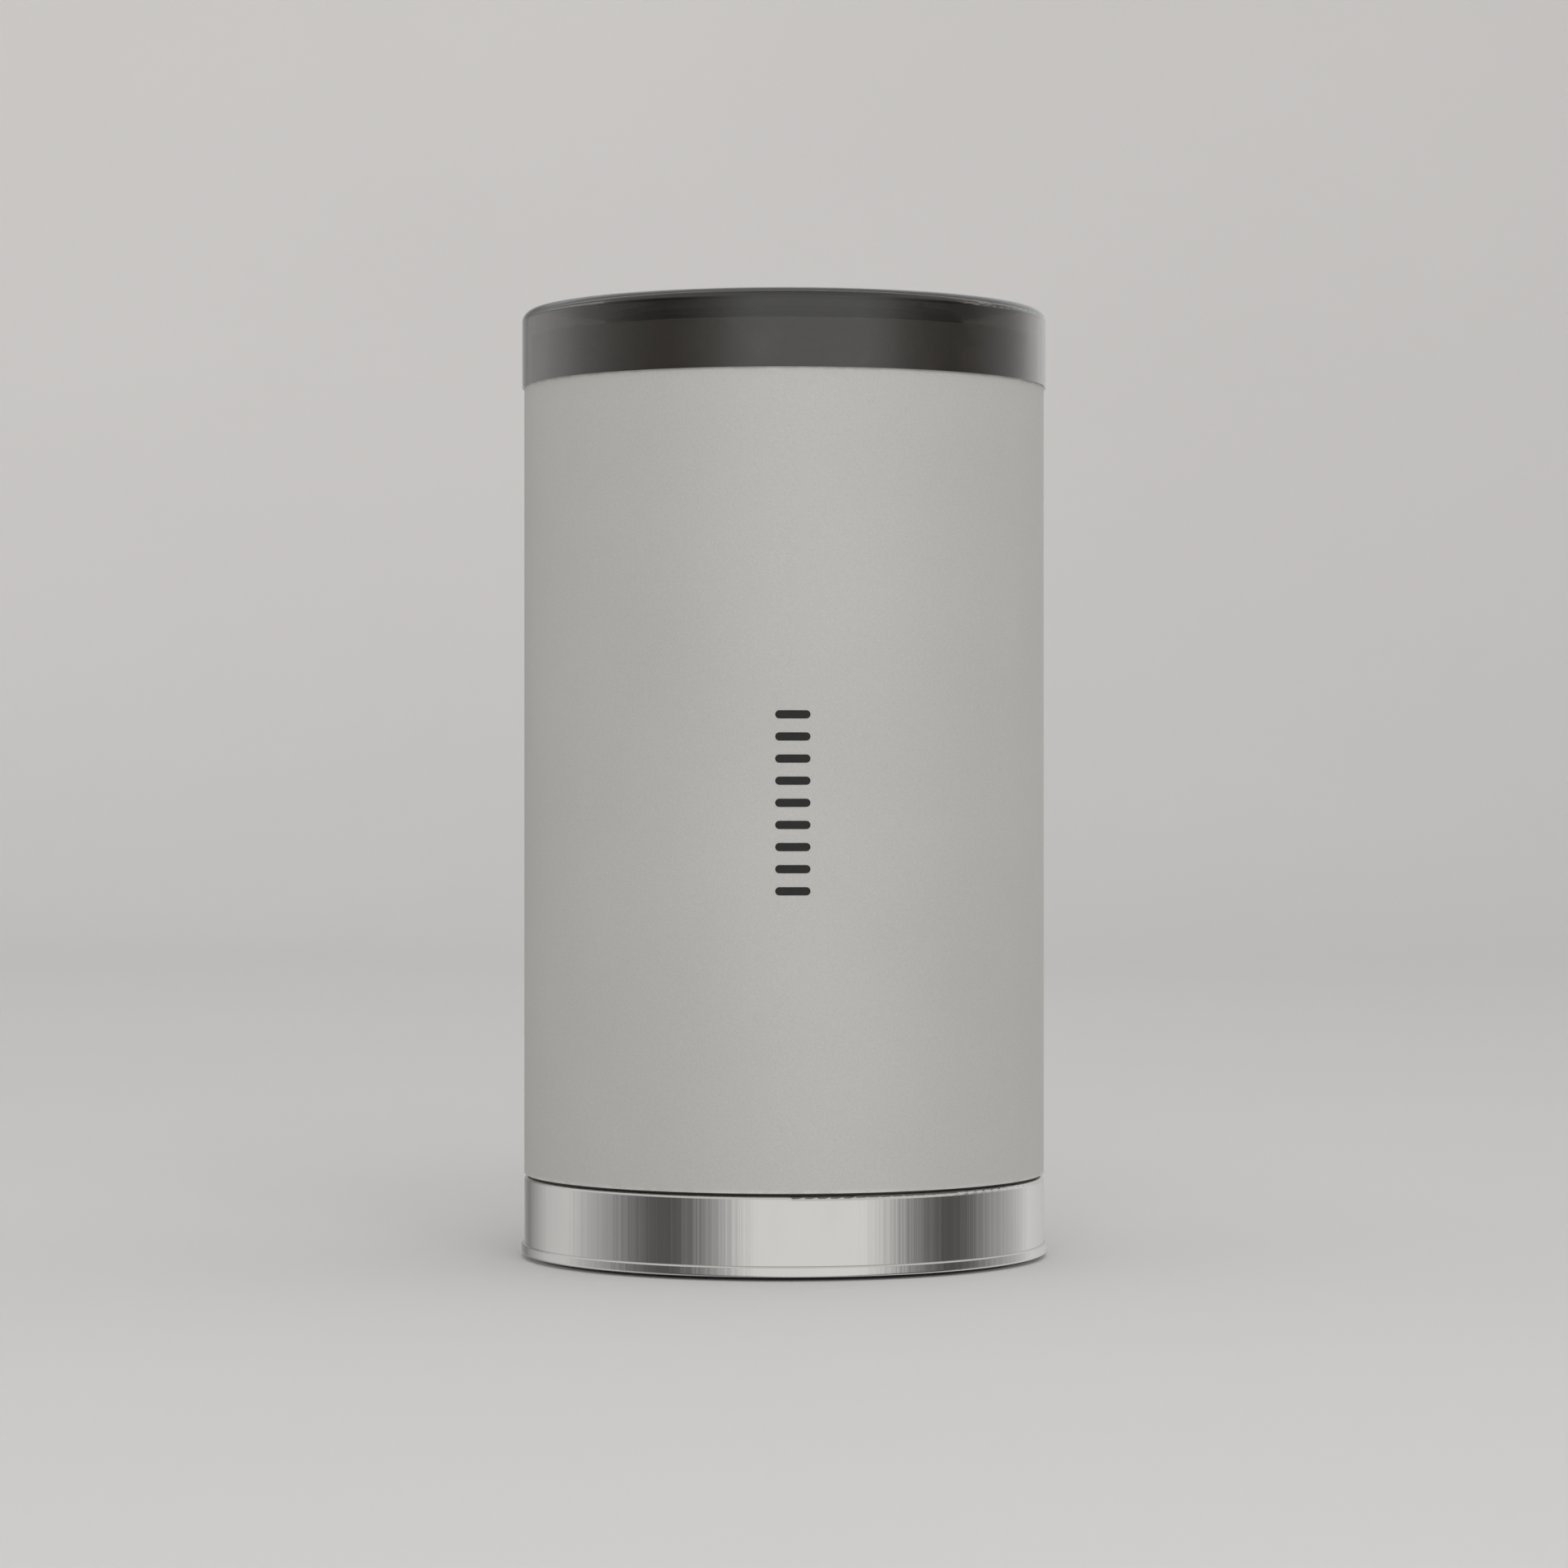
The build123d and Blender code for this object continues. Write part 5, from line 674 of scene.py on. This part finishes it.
# Keys: three caps of black plastic that stand a little proud of the sleeve, with a pale printed
# ring and bar for power, and a plus and a minus for the sound.
KEY_FACE_R = 50.1 * MM
MARK_WIDTH = 0.5 * MM
POWER_MARK_R, POWER_GAP_DEG, POWER_MARK_STEPS = 1.9 * MM, 34, 36
POWER_BAR_LOW, POWER_BAR_HIGH = POWER_MARK_R * 0.25, POWER_MARK_R * 1.1
VOLUME_MARK_HALF = 1.3 * MM
moulding("key_black", srgb(30, 30, 31), 0.38, 900, 0.01).on(
    "power_button", "volume_up_button", "volume_down_button")
pale_ink = Finish("pale_ink")
speck = pale_ink.noise(2400, 3)
pale_ink.paint("Base Color", pale_ink.mix(speck, srgb(196, 196, 192), srgb(222, 222, 218)))
pale_ink.paint("Roughness", 0.45 + pale_ink.noise(900, 2) * 0.16)
arc = []
for n in range(POWER_MARK_STEPS + 1):
    turn = math.radians(POWER_GAP_DEG + (360 - 2 * POWER_GAP_DEG) * n / POWER_MARK_STEPS)
    arc.append(POWER_MARK_R * complex(math.sin(turn), math.cos(turn)))
power_bar = straight(1j * POWER_BAR_LOW, 1j * POWER_BAR_HIGH)
bar = straight(complex(-VOLUME_MARK_HALF), complex(VOLUME_MARK_HALF))
post = straight(-1j * VOLUME_MARK_HALF, 1j * VOLUME_MARK_HALF)
key_marks = (("power_button", "power_key", [arc, power_bar]),
             ("volume_up_button", "volume_up_key", [bar, post]),
             ("volume_down_button", "volume_down_key", [bar]))
for key, body, strokes in key_marks:
    key_low, key_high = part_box(key)
    key_z = (key_low.z + key_high.z) / 2
    mark = ink(key + "_mark", strokes, MARK_WIDTH, KEY_AZIMUTH, KEY_FACE_R, key_z)
    inked(mark, pale_ink, body)


# Tripod nut: turned brass, pressed into the tray's boss below the stand, with a quarter-inch
# camera thread of twenty turns to the inch cut in its bore.
THREAD_PITCH, THREAD_ROOT_R, THREAD_CREST_R = 25.4 / 20 * MM, 3.2 * MM, 2.62 * MM
ROOT_HALF, CREST_HALF = 0.42 * THREAD_PITCH, 0.07 * THREAD_PITCH
THREAD_START, THREAD_END = 0.8 * MM, 7.4 * MM
THREAD_STEPS, FADE_STEPS = 32, 8
nut = Finish("turned_brass", {"Metallic": 1.0})
nut.paint("Base Color", nut.mix(nut.noise(500, 4), srgb(176, 138, 66), srgb(224, 190, 116)))
nut.paint("Roughness", 0.26 + nut.noise(900, 2) * 0.2)
nut.bump(nut.noise(1500, 3, (1, 0.1, 1)), 0.02 * MM)
nut.on("tripod_nut")
nut_low, nut_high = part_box("tripod_nut")
nut_z = (nut_low.z + nut_high.z) / 2
ridge, ridge_faces = [], []
steps = round((THREAD_END - THREAD_START) / THREAD_PITCH * THREAD_STEPS)
for n in range(steps + 1):
    fade = min(1, n / FADE_STEPS, (steps - n) / FADE_STEPS)
    crest_r = THREAD_ROOT_R + (THREAD_CREST_R - THREAD_ROOT_R) * fade
    turn = 2 * math.pi * n / THREAD_STEPS
    thread_y = nut_high.y - THREAD_START - THREAD_PITCH * n / THREAD_STEPS
    for radius, back in ((THREAD_ROOT_R, -ROOT_HALF), (crest_r, -CREST_HALF),
                         (crest_r, CREST_HALF), (THREAD_ROOT_R, ROOT_HALF)):
        ridge.append((radius * math.cos(turn), thread_y - back, nut_z + radius * math.sin(turn)))
    if n:
        a, b = 4 * n - 4, 4 * n
        for side in range(4):
            after = (side + 1) % 4
            ridge_faces.append((a + side, b + side, b + after, a + after))
ridge_faces += [(3, 2, 1, 0), tuple(4 * steps + side for side in range(4))]
thread = made("tripod_thread", ridge, ridge_faces)
thread.data.materials.append(nut.material)
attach(thread, "casing")


# Front frame: a pale grey moulding pressed into the sleeve's front end and screwed to its ledge. It
# shows through the dark cap as a charcoal band, because the light crosses the tint twice.
moulding("collar_grey", srgb(192, 189, 181), 0.5).on("front_frame")


# Lens bezel: a dished ring of black plastic with fine turned grooves that kill stray light, pressed
# over the frame's inner collar.
GROOVE_PITCH = 0.5 * MM
bezel = Finish("bezel_black")
groove = (bezel.radius() * (2 * math.pi / GROOVE_PITCH)).math("SINE") * 0.5 + 0.5
greying = groove * 0.3 + bezel.noise(400, 3) * 0.3
bezel.paint("Base Color", bezel.mix(greying, srgb(20, 20, 20), srgb(44, 43, 42)))
bezel.paint("Roughness", 0.34 + bezel.noise(600, 2) * 0.12)
bezel.bump(groove, 0.05 * MM)
bezel.on("lens_bezel")


# Smoked cap: a thick cup of tinted acrylic, moulded and polished all over, pressed on the front
# frame over the lens.
cap = Finish("smoked_acrylic", {"Transmission Weight": 1.0, "IOR": 1.49, "Coat Weight": 0.8})
scuff = cap.step(cap.noise(240, 4), 0.55, 0.75)
cap.paint("Base Color", cap.mix(cap.noise(30, 2), srgb(138, 134, 129), srgb(146, 142, 137)))
cap.paint("Roughness", 0.03 + scuff * 0.05)
cap.bump(cap.noise(70, 1), 0.006 * MM)
cap.on("smoked_cap")


# Screws and the speaker's magnet: zinc-plated steel inside, and black screws in the rear cover.
steel("plated_steel", srgb(128, 128, 130), srgb(186, 186, 188), 0.3).on(
    "case_screws", "board_screws", "fan_screws", "speaker_magnet")
steel("black_screw", srgb(38, 38, 40), srgb(74, 74, 76), 0.35).on("cover_screws")
